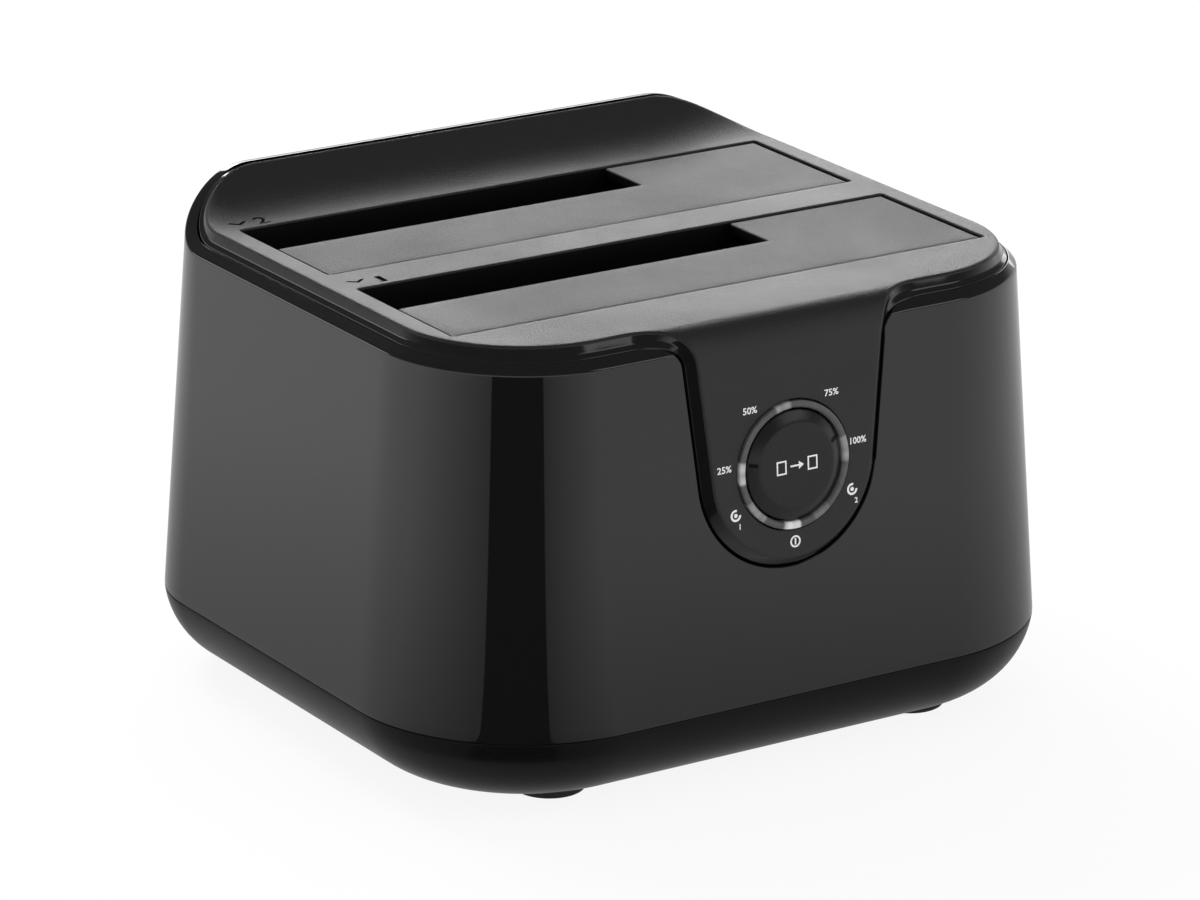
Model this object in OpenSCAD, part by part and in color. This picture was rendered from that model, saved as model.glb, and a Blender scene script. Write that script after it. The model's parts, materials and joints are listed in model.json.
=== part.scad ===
// Hard drive docking station with two drive bays, spring flaps and a lit clone key.
// Millimetres. Origin under the middle of the feet, X to the right, front towards -Y, Z up.

/* [Casing] */
// Distance from the drive openings to the casing's sides at the parting line
side_margin = 11.75; // [10.5:0.05:20]
// Distance from the front opening to the casing's front at the parting line
front_margin = 21.25; // [20:0.05:30]
// Distance from the rear opening to the casing's rear at the parting line
rear_margin = 23.65; // [22:0.05:32]
// Height of the flat deck above the table
deck_z = 78.3; // [74:0.1:100]
// Height of the parting line above the table
seam_z = 14.2; // [13:0.1:15.5]
// Lean of the shell walls from upright in degrees
draft = 4.1; // [2:0.1:5]
// Front corner radius at the parting line
front_r = 31; // [26:0.5:36]
// Rear corner radius at the parting line
rear_r = 23; // [20:0.5:30]
// Wall of the glossy shell
shell_t = 1.8; // [1.6:0.1:2.2]
// Chamfer round the top edge of the shell
shoulder = 1.3; // [0.8:0.1:1.5]
// Depth of the shell's land below the deck
rim_drop = 2.4; // [2:0.1:3]
// Width of the ledge inside the shell that carries the cover
ledge_w = 2; // [1.4:0.1:2.4]
// Thickness of that ledge
ledge_t = 2; // [1.5:0.1:3]

/* [Cover] */
// Thickness of the cover's deck
deck_t = 2.2; // [1.8:0.1:2.6]
// Wall of the skirt under the deck
skirt_t = 1.6; // [1.2:0.1:2]
// Height of the skirt below the deck
skirt_h = 7; // [6:0.1:9]
// Bevel round the deck
bevel = 1.6; // [1:0.1:1.8]
// Gap between cover and shell
rim_gap = 0.25; // [0.2:0.05:0.4]
// Height that the deck rises at its rear lip
lip_rise = 5.85; // [3:0.05:8]
// Length over which the deck rises
sweep_run = 14.4; // [11:0.1:15]

/* [Tongue] */
// Height of the clone key above the table
button_z = 53.5; // [48:0.1:56]
// Radius of the tongue's round end
tongue_r = 16.9; // [16.5:0.1:19]
// Lean of the tongue's sides in degrees
tongue_flare = 6.5; // [3:0.5:9]
// Height of the tongue above the shell's front
tongue_proud = 1.6; // [1:0.1:2]
// Thickness of the tongue
tongue_t = 2.6; // [2.2:0.1:3]
// Radius where the tongue's sides turn out into the deck
blend_r = 11; // [8:0.5:12]
// Radius of the bend from deck to tongue
fall_r = 5; // [4:0.1:7]
// Gap between tongue and shell
notch_gap = 0.4; // [0.3:0.05:0.6]

/* [Drive bays] */
// Width of each drive opening
bay_w = 103.5; // [95:0.1:120]
// Depth of each drive opening
bay_d = 29.6; // [27:0.1:34]
// Distance from one opening to the next
bay_pitch = 38.5; // [36:0.1:48]
// Wall of the drive wells
well_t = 1.8; // [1.4:0.1:2]
// Height of the collars under the deck
collar_h = 4; // [3:0.1:5]
// Height of the well floors above the main board
floor_rise = 3.9; // [3.6:0.1:6]
// Thickness of the well floors
floor_t = 2; // [1.5:0.1:2.2]
// Outer corner radius of the frame
frame_r = 4; // [3:0.5:5]

/* [Flaps] */
// Width of the slot for the smaller drive size
slot_w = 72; // [70:0.5:76]
// Depth of that slot
slot_d = 12; // [10:0.5:14]
// Thickness of the flaps
flap_t = 1.8; // [1.4:0.1:2]
// Depth of the flap tops below the deck
flap_drop = 0.3; // [0.1:0.1:0.6]
// Gap round the flaps
flap_gap = 0.4; // [0.3:0.05:0.6]
// Hinge barrel radius
barrel_r = 1.5; // [1.4:0.05:1.7]
// Hinge pin diameter
pin_d = 1.6; // [1.2:0.05:1.7]
// Running clearance round each hinge pin
pin_play = 0.05; // [0.03:0.01:0.08]
// Length of each torsion spring
spring_l = 7; // [5:0.5:10]
// Wall of the spring coil
spring_t = 0.2; // [0.15:0.01:0.22]
// Width of the stop ear at the side of each flap
ear_w = 1.2; // [0.8:0.1:1.3]
// Length of the stop ear
ear_l = 5; // [3:0.5:6]

/* [Clone key] */
// Outer diameter of the light ring
ring_od = 21.2; // [20.4:0.1:22]
// Inner diameter of the light ring
ring_id = 18.4; // [17.6:0.1:19]
// Height of the ring above the tongue
ring_rise = 0.5; // [0.2:0.1:1]
// Width of the ring's flange behind the tongue
ring_flange = 1; // [0.8:0.1:1.2]
// Thickness of that flange
ring_flange_t = 0.9; // [0.7:0.1:1.2]
// Gap between key and ring
key_gap = 0.4; // [0.3:0.05:0.5]
// Diameter of the key's flat face
key_face_d = 14.4; // [12:0.1:15]
// Height of the key's face above the tongue
key_rise = 1; // [0.8:0.1:1.4]
// Height of the key's bevel
key_bevel = 0.9; // [0.5:0.1:1]
// Overlap of the key's flange behind the ring
key_overlap = 0.35; // [0.25:0.05:0.4]
// Free play between that flange and the ring
key_play = 0.3; // [0.25:0.05:0.4]
// Thickness of the key's flange
key_flange_t = 1; // [0.8:0.1:1.3]
// Diameter of the key's stem
stem_d = 4.4; // [3.6:0.1:5]
// Travel of the key
key_travel = 0.5; // [0.3:0.05:0.6]
// Diameter of the light legs behind the ring
leg_d = 1.6; // [1.2:0.1:1.7]
// Number of light legs and lamps
lamps = 7; // [5:1:8]

/* [Button board] */
// Distance from tongue face to button board
button_board_depth = 10; // [9.6:0.1:11]
// Width of the button board
button_board_w = 36; // [34:0.5:40]
// Height of the button board
button_board_h = 28; // [26:0.5:29]
// Side of the key switch
switch_w = 6; // [5.5:0.1:7]
// Height of the key switch
switch_h = 3.5; // [3:0.1:3.8]
// Diameter of the key switch's plunger
plunger_d = 3.4; // [3:0.1:3.5]
// Running clearance round the plunger
plunger_play = 0.05; // [0.03:0.01:0.08]
// Distance from the key's axis to the board posts
post_x = 14.2; // [14:0.1:14.4]
// Diameter of the board posts
post_d = 4; // [3.4:0.1:4.2]

/* [Base pan] */
// Height of the feet below the pan
foot_h = 1.1; // [0.8:0.1:1.8]
// Radius of the pan's round underside edge
pan_r = 14.7; // [13.5:0.1:17]
// Wall of the pan
pan_t = 2.2; // [1.8:0.1:2.6]
// Height of the lip that locates the shell
lip_h = 1.8; // [1.2:0.1:1.9]
// Wall of that lip
lip_t = 1.4; // [1:0.1:1.8]
// Gap between that lip and the shell
lip_gap = 0.25; // [0.2:0.05:0.4]
// Diameter of the feet
foot_d = 12; // [9:0.5:14]
// Depth of the feet's recesses
foot_recess = 0.6; // [0.4:0.1:1]
// Distance of the feet's middles from the casing's sides
foot_in_x = 27.8; // [25:0.1:32]
// Distance of the feet's middles from the casing's front and rear
foot_in_y = 17.8; // [17:0.1:22]

/* [Main board] */
// Depth of the main board's underside below the parting line
board_drop = 1.2; // [0.9:0.1:1.6]
// Thickness of both boards
board_t = 1.6; // [1.2:0.1:1.7]
// Distance from the main board to the casing's sides
board_side_gap = 17.5; // [16:0.5:20]
// Distance from the main board to the casing's front
board_front_gap = 11.5; // [10.5:0.5:13]
// Distance from the main board to the casing's rear
board_rear_gap = 6.5; // [6:0.1:8]
// Length of the drive sockets
socket_l = 43.5; // [43:0.1:45]
// Width of the drive sockets
socket_w = 6.4; // [6:0.1:7]
// Height of the drive sockets
socket_h = 10.4; // [10:0.1:11]
// Distance from socket to the rear of its well
socket_back = 4.6; // [4.2:0.1:6]
// Distance from socket to the left of its well
socket_in = 10; // [8:0.5:14]
// Clearance round the sockets in the well floors
socket_gap = 0.6; // [0.4:0.1:1]

/* [Rear ports] */
// Sideways place of the data port
usb_x = 13; // [11:0.5:15]
// Width of the data port
usb_w = 12; // [11.5:0.1:12.5]
// Height of the data port
usb_h = 12.8; // [12.4:0.1:13]
// Length of the data port
usb_l = 17; // [15:0.5:18]
// Wall of the data port's shell
usb_t = 0.6; // [0.5:0.05:0.7]
// Sideways place of the power inlet
jack_x = -9; // [-10:0.5:-7]
// Width of the power inlet
jack_w = 9; // [8.6:0.1:9.5]
// Height of the power inlet
jack_h = 11; // [10:0.1:12]
// Length of the power inlet
jack_l = 14; // [12:0.5:14.5]
// Diameter of the power inlet's mouth
jack_bore = 6.4; // [6:0.1:6.8]
// Diameter of the power inlet's pin
jack_pin_d = 2.1; // [1.9:0.1:2.5]
// Sideways place of the power key
power_x = -31; // [-33:0.5:-29]
// Diameter of the power key
power_d = 8; // [7:0.1:9]
// Travel of the power key
power_travel = 2; // [1.5:0.1:2.4]
// Clearance round the ports and the power key in the shell
port_gap = 0.35; // [0.3:0.05:0.5]

/* [Board parts] */
// Side of the largest chip
chip_w = 14; // [10:0.5:16]
// Side of the smaller chips
small_chip_w = 7; // [5:0.5:9]
// Height of the chips
chip_h = 1.3; // [0.8:0.1:1.5]
// Diameter of the capacitors
can_d = 6; // [5:0.5:6.3]
// Height of the capacitors
can_h = 9; // [6:0.5:11]
// Side of the coils
coil_w = 6.5; // [5:0.5:7]
// Height of the coils
coil_h = 4; // [3:0.5:5]
// Width of the ribbon lead
ribbon_w = 10; // [8:0.5:12]
// Thickness of the ribbon lead
ribbon_t = 0.8; // [0.6:0.1:1]
// Distance of the ribbon lead to the right of the middle
ribbon_x = 5; // [4.5:0.5:6]
// Thickness of the lead's plugs
plug_d = 3.4; // [3:0.1:4]
// Height of the lead's plugs
plug_h = 5; // [4:0.1:6]

/* [Fasteners] */
// Shank diameter of the screws
screw_d = 2.6; // [2.2:0.1:2.8]
// Head diameter of the screws
screw_head_d = 5; // [4.6:0.1:5.4]
// Head height of the screws
screw_head_h = 1.6; // [1.2:0.1:1.8]
// Clearance of the screws in their through holes
screw_play = 0.3; // [0.2:0.05:0.4]
// Diameter of the screw bosses
boss_d = 6.4; // [6:0.1:6.8]
// Distance of the base screws from the sides of the wells
base_screw_in = 10.75; // [9:0.25:13]
// Distance of the base screws from the front of their well
base_screw_back = 7.5; // [6:0.25:9]
// Distance of the frame screws from the sides of the wells
frame_screw_in = 13.75; // [12:0.25:16]
// Distance of the board screws from the main board's edges
board_screw_in = 4.2; // [4:0.1:5]
// Length of thread of the screws in their bosses
screw_bite = 6; // [5:0.5:7]
// Distance of the frame screws from the wells
frame_screw_out = 6.2; // [6:0.1:6.5]

/* [Hidden] */
$fn = 96;
eps = 0.01;
kink = 0.05;
body_w = bay_w + 2 * side_margin;
body_d = front_margin + bay_d + bay_pitch + rear_margin;
bays_y = (front_margin - rear_margin) / 2;
board_z = seam_z - board_drop;
board_top = board_z + board_t;
floor_z = board_top + floor_rise;
board_w = body_w - 2 * board_side_gap;
board_front = -body_d / 2 + board_front_gap;
board_rear = body_d / 2 - board_rear_gap;
foot_x = body_w / 2 - foot_in_x;
foot_y = body_d / 2 - foot_in_y;
lean_rate = tan(draft);
front_c = [body_w / 2 - front_r, -body_d / 2 + front_r];
rear_c = [body_w / 2 - rear_r, body_d / 2 - rear_r];
cover_off = shell_t + rim_gap;
deck_off = cover_off + bevel;
land_z = deck_z - rim_drop;
skirt_z = deck_z - skirt_h;
lip_z = deck_z + lip_rise;
lip_y = body_d / 2 - lean(deck_z) - deck_off;
sweep_y = lip_y - sweep_run;
sweep_r = (sweep_run * sweep_run + lip_rise * lip_rise) / (2 * lip_rise);
rim_back = 0.6;
rim_run = sweep_run + bevel;
rim_rise = lip_rise + rim_drop - rim_back;
rim_r = (rim_run * rim_run + rim_rise * rim_rise) / (2 * rim_rise);
bay_ys = [bays_y - bay_pitch / 2, bays_y + bay_pitch / 2];
frame_top = deck_z - deck_t - collar_h;
frame_half = bay_w / 2 + well_t;
socket_x = -bay_w / 2 + socket_in + socket_l / 2;
base_screw_x = bay_w / 2 - base_screw_in;
base_screw_ys = [bay_ys[0] - bay_d / 2 + base_screw_back, bay_ys[1] - bay_d / 2 + base_screw_back];
frame_screw_x = bay_w / 2 - frame_screw_in;
frame_front = bay_ys[0] - bay_d / 2 - well_t;
frame_rear = bay_ys[1] + bay_d / 2 + well_t;
hinge_in = barrel_r + 0.25;
hinge_z = deck_z - flap_drop - barrel_r;
flap_half = bay_w / 2 - flap_gap;
spring_x = flap_half - 16;
pin_r = pin_d / 2;
bore_r = pin_r + pin_play;
spring_in = bore_r + 0.02;
spring_out = spring_in + spring_t;
pocket_r = spring_out + 0.1;
ear_top = deck_z - deck_t - 0.05;
ear_t = 1.3;
ear_y = 4;
key_d = ring_id - 2 * key_gap;
ring_back = tongue_t + ring_flange_t;
key_back = ring_back + key_play + key_flange_t;
stem_end = button_board_depth - switch_h - 1.5;
leg_ring = ring_od / 2 + 0.1;
leg_end = button_board_depth - 1.1;
lamp_h = 0.8;
blend_v = (deck_z - 0.2 - button_z) / cos(draft) - blend_r;
blend_x = (tongue_r + blend_r + blend_v * sin(tongue_flare)) / cos(tongue_flare);
port_face = 1;
port_y = body_d / 2 - shell_t - port_face;
jack_z = board_top + jack_h - 4.5;
power_z = board_top + 6;
power_len = 8;
power_body = 6;
power_stem_d = 3;
slot_t = 2.4;
power_slot = 21;
signal_slot = 10.6;
slot_rib = 2.3;
slot_deep = 6.5;
contact_pitch = 1.27;
post_len = floor_z - floor_t;
pan_boss_top = board_z - 3.5;
screw_tip = floor_z - 1.2;
frame_screw_ys = [frame_front - frame_screw_out, frame_rear + frame_screw_out];
frame_ear_z = frame_top - 10;
frame_ear_t = 3;
board_screw_x = board_w / 2 - board_screw_in;
board_screw_ys = [board_front + board_screw_in, board_rear - board_screw_in];

// Inward lean of the walls at a height
function lean(z) = (z - seam_z) * lean_rate;
function front_y(z) = -body_d / 2 + lean(z);
function tongue_y(z) = front_y(z) - tongue_proud / cos(draft);

// Solid of a drawing in Y and Z, drawn out along X
module along_x(x0, x1) {
    rotate([90, 0, 90]) translate([0, 0, x0]) linear_extrude(x1 - x0) children();
}

// Solid of a drawing in X and Z, drawn out along Y
module along_y(y0, y1) {
    translate([0, y1, 0]) rotate([90, 0, 0]) linear_extrude(y1 - y0) children();
}

// Quarter turn of a drawing, in the quadrant counted from +X to +Y
module quarter(q) {
    rotate([0, 0, 90 * q]) rotate_extrude(angle = 90) children();
}

// Rounded block between two heights, moved in by its own amount at each of them
module tapered(z0, z1, o0, o1) {
    h0 = body_w / 2 - o0;
    h1 = body_w / 2 - o1;
    d0 = body_d / 2 - o0;
    d1 = body_d / 2 - o1;
    for (s = [0, 1]) {
        translate([(2 * s - 1) * front_c[0], front_c[1], 0]) quarter(2 + s)
            polygon([[0, z0], [front_r - o0, z0], [front_r - o1, z1], [0, z1]]);
        translate([(1 - 2 * s) * rear_c[0], rear_c[1], 0]) quarter(s)
            polygon([[0, z0], [rear_r - o0, z0], [rear_r - o1, z1], [0, z1]]);
    }
    along_y(front_c[1], rear_c[1]) polygon([[-h0, z0], [h0, z0], [h1, z1], [-h1, z1]]);
    along_x(-front_c[0], front_c[0])
        polygon([[-d0, z0], [front_c[1], z0], [front_c[1], z1], [-d1, z1]]);
    along_x(-rear_c[0], rear_c[0])
        polygon([[rear_c[1], z0], [d0, z0], [d1, z1], [rear_c[1], z1]]);
}

// Block with the casing's own lean
module drafted(z0, z1, off) {
    tapered(z0, z1, lean(z0) + off, lean(z1) + off);
}

// Everything above a deck line that turns up at the rear
module sky(z, start, run, rise, r) {
    far = 2 * body_d;
    along_x(-body_w, body_w) {
        translate([-far, z]) square([far + start + kink, far]);
        intersection() {
            translate([start, z + r - kink]) circle(r);
            translate([start, z - 1]) square([run + r, far]);
        }
        translate([start + run / 2, z + rise - kink]) square([far, far]);
    }
}

// Drawing of a 45 degree cut at the edge of a block with this radius
module edge_cut(r, z, size) {
    over = 0.6;
    polygon([[r - size - over, z + over], [r + over, z - size - over], [r + over, z + over]]);
}

// Chamfer along the level part of a rim
module rim_chamfer(z, size, off) {
    o = lean(z) + off;
    for (s = [0, 1]) {
        translate([(2 * s - 1) * front_c[0], front_c[1], 0]) quarter(2 + s) edge_cut(front_r - o, z, size);
        mirror([s, 0, 0]) along_y(front_c[1], rear_c[1]) edge_cut(body_w / 2 - o, z, size);
    }
    along_x(-front_c[0], front_c[0]) mirror([1, 0]) edge_cut(body_d / 2 - o, z, size);
}

// Front frame: X across, Y up the leaning front, Z out of the tongue's face
module on_tongue() {
    translate([0, tongue_y(button_z), button_z]) rotate([90 - draft, 0, 0]) children();
}

// Half-width of the tongue's straight side at a height above the key
function tongue_half(v, gap) = (tongue_r + gap - kink + v * sin(tongue_flare)) / cos(tongue_flare);

// Outline of the tongue above its round end, grown by a gap
module tongue_neck(gap) {
    low = -tongue_r * sin(tongue_flare);
    turn = blend_v + blend_r * sin(tongue_flare);
    top = blend_v + 2 * blend_r;
    polygon([[tongue_half(low, gap), low], [tongue_half(turn, gap), turn], [blend_x, turn], [blend_x, top],
        [-blend_x, top], [-blend_x, turn], [-tongue_half(turn, gap), turn], [-tongue_half(low, gap), low]]);
}

// Tongue drawn straight out of the front, with its bevel
module tongue_prism() {
    deep = tongue_t + 6;
    hollow = blend_r + 4 * kink;
    difference() {
        union() {
            rotate_extrude() polygon([[0, -deep], [tongue_r, -deep], [tongue_r, -tongue_proud],
                [tongue_r - tongue_proud, 0], [0, 0]]);
            translate([0, 0, -deep]) linear_extrude(deep) tongue_neck(0);
        }
        for (s = [0, 1]) mirror([s, 0, 0]) {
            rotate([0, 0, -tongue_flare]) translate([tongue_r - 2 * kink, -tongue_r, -tongue_proud])
                rotate([0, -45, 0]) translate([0, 0, -2 * deep]) cube([deep, blend_v + 2 * tongue_r, 4 * deep]);
            translate([blend_x, blend_v, 0]) rotate_extrude()
                polygon([[0, -2 * deep], [hollow, -2 * deep], [hollow, -tongue_proud],
                    [hollow + tongue_proud + 1, 1], [0, 1]]);
        }
    }
}

// Hole for the tongue, straight through the front of the shell
module tongue_notch() {
    deep = tongue_proud + 9;
    translate([0, 0, -deep]) {
        cylinder(h = 2 * deep, r = tongue_r + notch_gap);
        linear_extrude(2 * deep) difference() {
            tongue_neck(notch_gap);
            for (s = [-1, 1]) translate([s * blend_x, blend_v]) circle(blend_r - notch_gap + 4 * kink);
        }
    }
}

// Side view of the tongue and its bend, moved in by a depth
module tongue_side(depth) {
    r = fall_r - depth;
    cz = deck_z - fall_r;
    cy = tongue_y(cz) + fall_r / cos(draft);
    low = button_z - 2 * tongue_r;
    back = -body_d / 2 + 16;
    shift = depth / cos(draft);
    translate([cy, cz]) circle(r + kink);
    polygon([[tongue_y(low) + shift, low], [back, low], [back, deck_z - depth], [cy, deck_z - depth],
        [cy, cz], [cy - r * cos(draft), cz + r * sin(draft)]]);
}

// Round edge of the pan from a start out to a radius, for turning or drawing out
module pan_edge(r, off, start) {
    tall = seam_z - foot_h;
    out = pan_r > tall ? pan_r - sqrt(pan_r * pan_r - (pan_r - tall) * (pan_r - tall)) : 0;
    mid = r - pan_r + out;
    intersection() {
        union() {
            translate([mid, foot_h + pan_r]) circle(pan_r - off);
            translate([start, 0]) square([mid - start, deck_z]);
        }
        translate([start, foot_h + off]) square([2 * r, tall - off]);
    }
}

// Pan block, moved in by the wall for its inside
module pan_block(off) {
    for (s = [0, 1]) {
        translate([(2 * s - 1) * front_c[0], front_c[1], 0]) quarter(2 + s) pan_edge(front_r, off, 0);
        translate([(1 - 2 * s) * rear_c[0], rear_c[1], 0]) quarter(s) pan_edge(rear_r, off, 0);
        mirror([s, 0, 0]) along_y(front_c[1], rear_c[1]) pan_edge(body_w / 2, off, 0);
    }
    along_x(-front_c[0], front_c[0]) mirror([1, 0]) pan_edge(body_d / 2, off, -front_c[1]);
    along_x(-rear_c[0], rear_c[0]) pan_edge(body_d / 2, off, rear_c[1]);
}

// Rounded plate outline of the drive frame, grown by a gap
module frame_outline(gap) {
    deep = frame_rear - frame_front;
    translate([-frame_half + frame_r, frame_front - gap]) square([2 * (frame_half - frame_r), deep + 2 * gap]);
    translate([-frame_half - gap, frame_front + frame_r])
        square([2 * (frame_half + gap), deep - 2 * frame_r]);
    for (x = [-1, 1], y = [frame_front + frame_r, frame_rear - frame_r])
        translate([x * (frame_half - frame_r), y]) circle(frame_r + gap);
}

// Screw standing on its tip, head at the bottom
module screw(len) {
    cylinder(h = screw_head_h, d = screw_head_d);
    translate([0, 0, screw_head_h - eps]) cylinder(h = len + eps, d = screw_d);
}

// Places of the four base screws
module at_base_screws() {
    for (x = [-1, 1], y = base_screw_ys)
        translate([x * base_screw_x, y, 0]) children();
}

// Places of the four frame screws
module at_frame_screws() {
    for (x = [-1, 1], y = frame_screw_ys) translate([x * frame_screw_x, y, 0]) children();
}

// Places of the four board screws
module at_board_screws() {
    for (x = [-1, 1], y = board_screw_ys) translate([x * board_screw_x, y, 0]) children();
}

// Holes and wells that the ports need in the rear of the shell
module port_windows() {
    top = board_top + usb_h + port_gap;
    translate([usb_x - usb_w / 2 - port_gap, 0, board_top - port_gap])
        cube([usb_w + 2 * port_gap, body_d, top - board_top + port_gap]);
    translate([jack_x, 0, jack_z]) rotate([-90, 0, 0])
        cylinder(h = body_d, d = jack_w - 1 + 2 * port_gap);
    translate([power_x, 0, power_z]) rotate([-90, 0, 0])
        cylinder(h = body_d, d = power_d + 2 * port_gap);
}

module base_pan() {
    head_z = foot_h + screw_head_h + 0.6;
    color([0.03, 0.03, 0.032]) difference() {
        union() {
            difference() {
                pan_block(0);
                pan_block(pan_t);
            }
            intersection() {
                union() {
                    at_base_screws() translate([0, 0, foot_h]) cylinder(h = pan_boss_top - foot_h, d = boss_d + 2);
                    at_board_screws() translate([0, 0, foot_h]) cylinder(h = board_z - foot_h, d = boss_d);
                }
                pan_block(pan_t / 2);
            }
            difference() {
                tapered(seam_z - 3, seam_z + lip_h, shell_t + lip_gap, shell_t + lip_gap + lean(seam_z + lip_h));
                tapered(seam_z - 4, seam_z + lip_h + 1, shell_t + lip_gap + lip_t, shell_t + lip_gap + lip_t);
                translate([power_x - 8, 0, seam_z]) cube([usb_x - power_x + 18, body_d, 10]);
            }
        }
        at_base_screws() {
            translate([0, 0, -1]) cylinder(h = head_z + 1, d = screw_head_d + 2 * screw_play);
            cylinder(h = deck_z, d = screw_d + 2 * screw_play);
        }
        at_board_screws() translate([0, 0, foot_h + pan_t + 1]) cylinder(h = board_z, d = screw_d);
        for (x = [-1, 1], y = [-1, 1]) translate([x * foot_x, y * foot_y, 0])
            cylinder(h = foot_h + foot_recess, d = foot_d + 0.2);
    }
}

module feet() {
    color([0.05, 0.05, 0.05]) for (x = [-1, 1], y = [-1, 1])
        translate([x * foot_x, y * foot_y, 0]) cylinder(h = foot_h + foot_recess, d = foot_d);
}

module outer_shell() {
    color([0.012, 0.012, 0.014]) difference() {
        drafted(seam_z, lip_z + 2, 0);
        difference() {
            drafted(seam_z - eps, lip_z + 3, shell_t);
            difference() {
                drafted(skirt_z - ledge_t, skirt_z, 0);
                drafted(skirt_z - ledge_t - 1, skirt_z + 1, shell_t + ledge_w);
            }
        }
        sky(land_z, sweep_y, rim_run, rim_rise, rim_r);
        rim_chamfer(land_z, shoulder, 0);
        on_tongue() tongue_notch();
        port_windows();
        translate([0, 0, skirt_z - ledge_t - 1]) linear_extrude(ledge_t + 1) frame_outline(0.3);
    }
}

module top_cover() {
    inner = deck_off + skirt_t - bevel;
    color([0.09, 0.09, 0.092]) difference() {
        union() {
            difference() {
                drafted(skirt_z, lip_z + 2, cover_off);
                sky(deck_z, sweep_y, sweep_run, lip_rise, sweep_r);
                rim_chamfer(deck_z, bevel, cover_off);
                difference() {
                    drafted(skirt_z - 1, lip_z + 3, inner);
                    sky(deck_z - deck_t, sweep_y, sweep_run, lip_rise, sweep_r);
                }
            }
            difference() {
                intersection() {
                    on_tongue() tongue_prism();
                    along_x(-blend_x, blend_x) difference() {
                        tongue_side(0);
                        tongue_side(tongue_t);
                    }
                }
                for (s = [-1, 1]) translate([s * blend_x, front_y(deck_z) + deck_off - blend_r + eps, skirt_z])
                    cylinder(h = deck_z, r = blend_r);
            }
            for (y = bay_ys) translate([-frame_half, y - bay_d / 2 - well_t, frame_top])
                cube([2 * frame_half, bay_d + 2 * well_t, collar_h + 1]);
            at_frame_screws() translate([0, 0, frame_ear_z + frame_ear_t])
                cylinder(h = deck_z - deck_t + 1 - frame_ear_z - frame_ear_t, d = boss_d);
            for (x = [-1, 1]) on_tongue() translate([x * post_x, 0, -button_board_depth])
                cylinder(h = button_board_depth - tongue_proud, d = post_d);
        }
        for (y = bay_ys) {
            translate([-bay_w / 2, y - bay_d / 2, 0]) cube([bay_w, bay_d, 2 * deck_z]);
            translate([-frame_half - 1, y - bay_d / 2 + hinge_in, hinge_z]) rotate([0, 90, 0])
                cylinder(h = 2 * frame_half + 2, r = pin_r + 0.02);
            ear_window(y);
        }
        at_frame_screws() cylinder(h = frame_ear_z + frame_ear_t + screw_bite + 1, d = screw_d);
        on_tongue() {
            translate([0, 0, -ring_back - 1]) cylinder(h = 20, d = ring_od + 0.1);
            for (x = [-1, 1]) translate([x * post_x, 0, -button_board_depth - 1])
                cylinder(h = 6, d = screw_d - 0.6);
        }
    }
}

// Window in the right wall of a bay, where the flap's stop ear swings
module ear_window(y) {
    r = ear_y + ear_l + 1;
    translate([bay_w / 2 - 1, y - bay_d / 2 + hinge_in - 2.5, deck_z - deck_t - r])
        cube([well_t + 0.6, r + 2.5, r]);
}

module drive_frame() {
    color([0.05, 0.05, 0.052]) difference() {
        union() {
            translate([0, 0, floor_z - floor_t]) linear_extrude(frame_top - floor_z + floor_t) frame_outline(0);
            at_base_screws() translate([0, 0, pan_boss_top]) cylinder(h = post_len - pan_boss_top + 1, d = boss_d);
            at_frame_screws() translate([0, 0, frame_ear_z]) cylinder(h = frame_ear_t, d = boss_d + 1);
            for (x = [-1, 1]) translate([x * frame_screw_x - boss_d / 2, frame_screw_ys[0], frame_ear_z])
                cube([boss_d, frame_screw_ys[1] - frame_screw_ys[0], frame_ear_t]);
        }
        for (y = bay_ys) {
            translate([-bay_w / 2, y - bay_d / 2, floor_z]) cube([bay_w, bay_d, deck_z]);
            translate([socket_x - socket_l / 2 - socket_gap,
                y + bay_d / 2 - socket_back - socket_w - socket_gap, 0])
                cube([socket_l + 2 * socket_gap, socket_w + 2 * socket_gap, deck_z]);
            ear_window(y);
        }
        translate([-bay_w / 2, bay_ys[0] + bay_d / 2 + well_t, floor_z])
            cube([bay_w, bay_pitch - bay_d - 2 * well_t, deck_z]);
        at_base_screws() cylinder(h = screw_tip + 0.5, d = screw_d);
        at_frame_screws() translate([0, 0, frame_ear_z - 1])
            cylinder(h = frame_ear_t + 2, d = screw_d + 2 * screw_play);
    }
}

// One flap: plate, hinge barrel and stop ear, with room for the spring round the pin
module flap(y) {
    axis_y = y - bay_d / 2 + hinge_in;
    back = y + bay_d / 2 - flap_gap;
    top = deck_z - flap_drop;
    cut_x = slot_w - flap_gap;
    difference() {
        union() {
            translate([-flap_half, axis_y, top - flap_t]) cube([2 * flap_half, back - axis_y, flap_t]);
            translate([-flap_half, axis_y, hinge_z]) rotate([0, 90, 0])
                cylinder(h = 2 * flap_half, r = barrel_r);
            translate([flap_half - 6, axis_y + ear_y, ear_top - ear_t])
                cube([6 + flap_gap + ear_w, ear_l, ear_t]);
            translate([flap_half - 6, axis_y + ear_y, ear_top - ear_t])
                cube([6, ear_l, top - ear_top + ear_t]);
        }
        translate([-flap_half - 1, back - slot_d + flap_gap, 0]) cube([cut_x + 1, slot_d, 2 * deck_z]);
        translate([-flap_half - 1, axis_y, hinge_z]) rotate([0, 90, 0])
            cylinder(h = 2 * flap_half + 2, r = bore_r);
        translate([spring_x - 0.3, axis_y, hinge_z]) {
            rotate([0, 90, 0]) cylinder(h = spring_l + 0.6, r = pocket_r);
            translate([0, -barrel_r - 1, -barrel_r - 1]) cube([spring_l + 0.6, barrel_r + 1 + pocket_r, barrel_r + 1]);
        }
    }
}

module front_flap() {
    color([0.1, 0.1, 0.102]) flap(bay_ys[0]);
}

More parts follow.
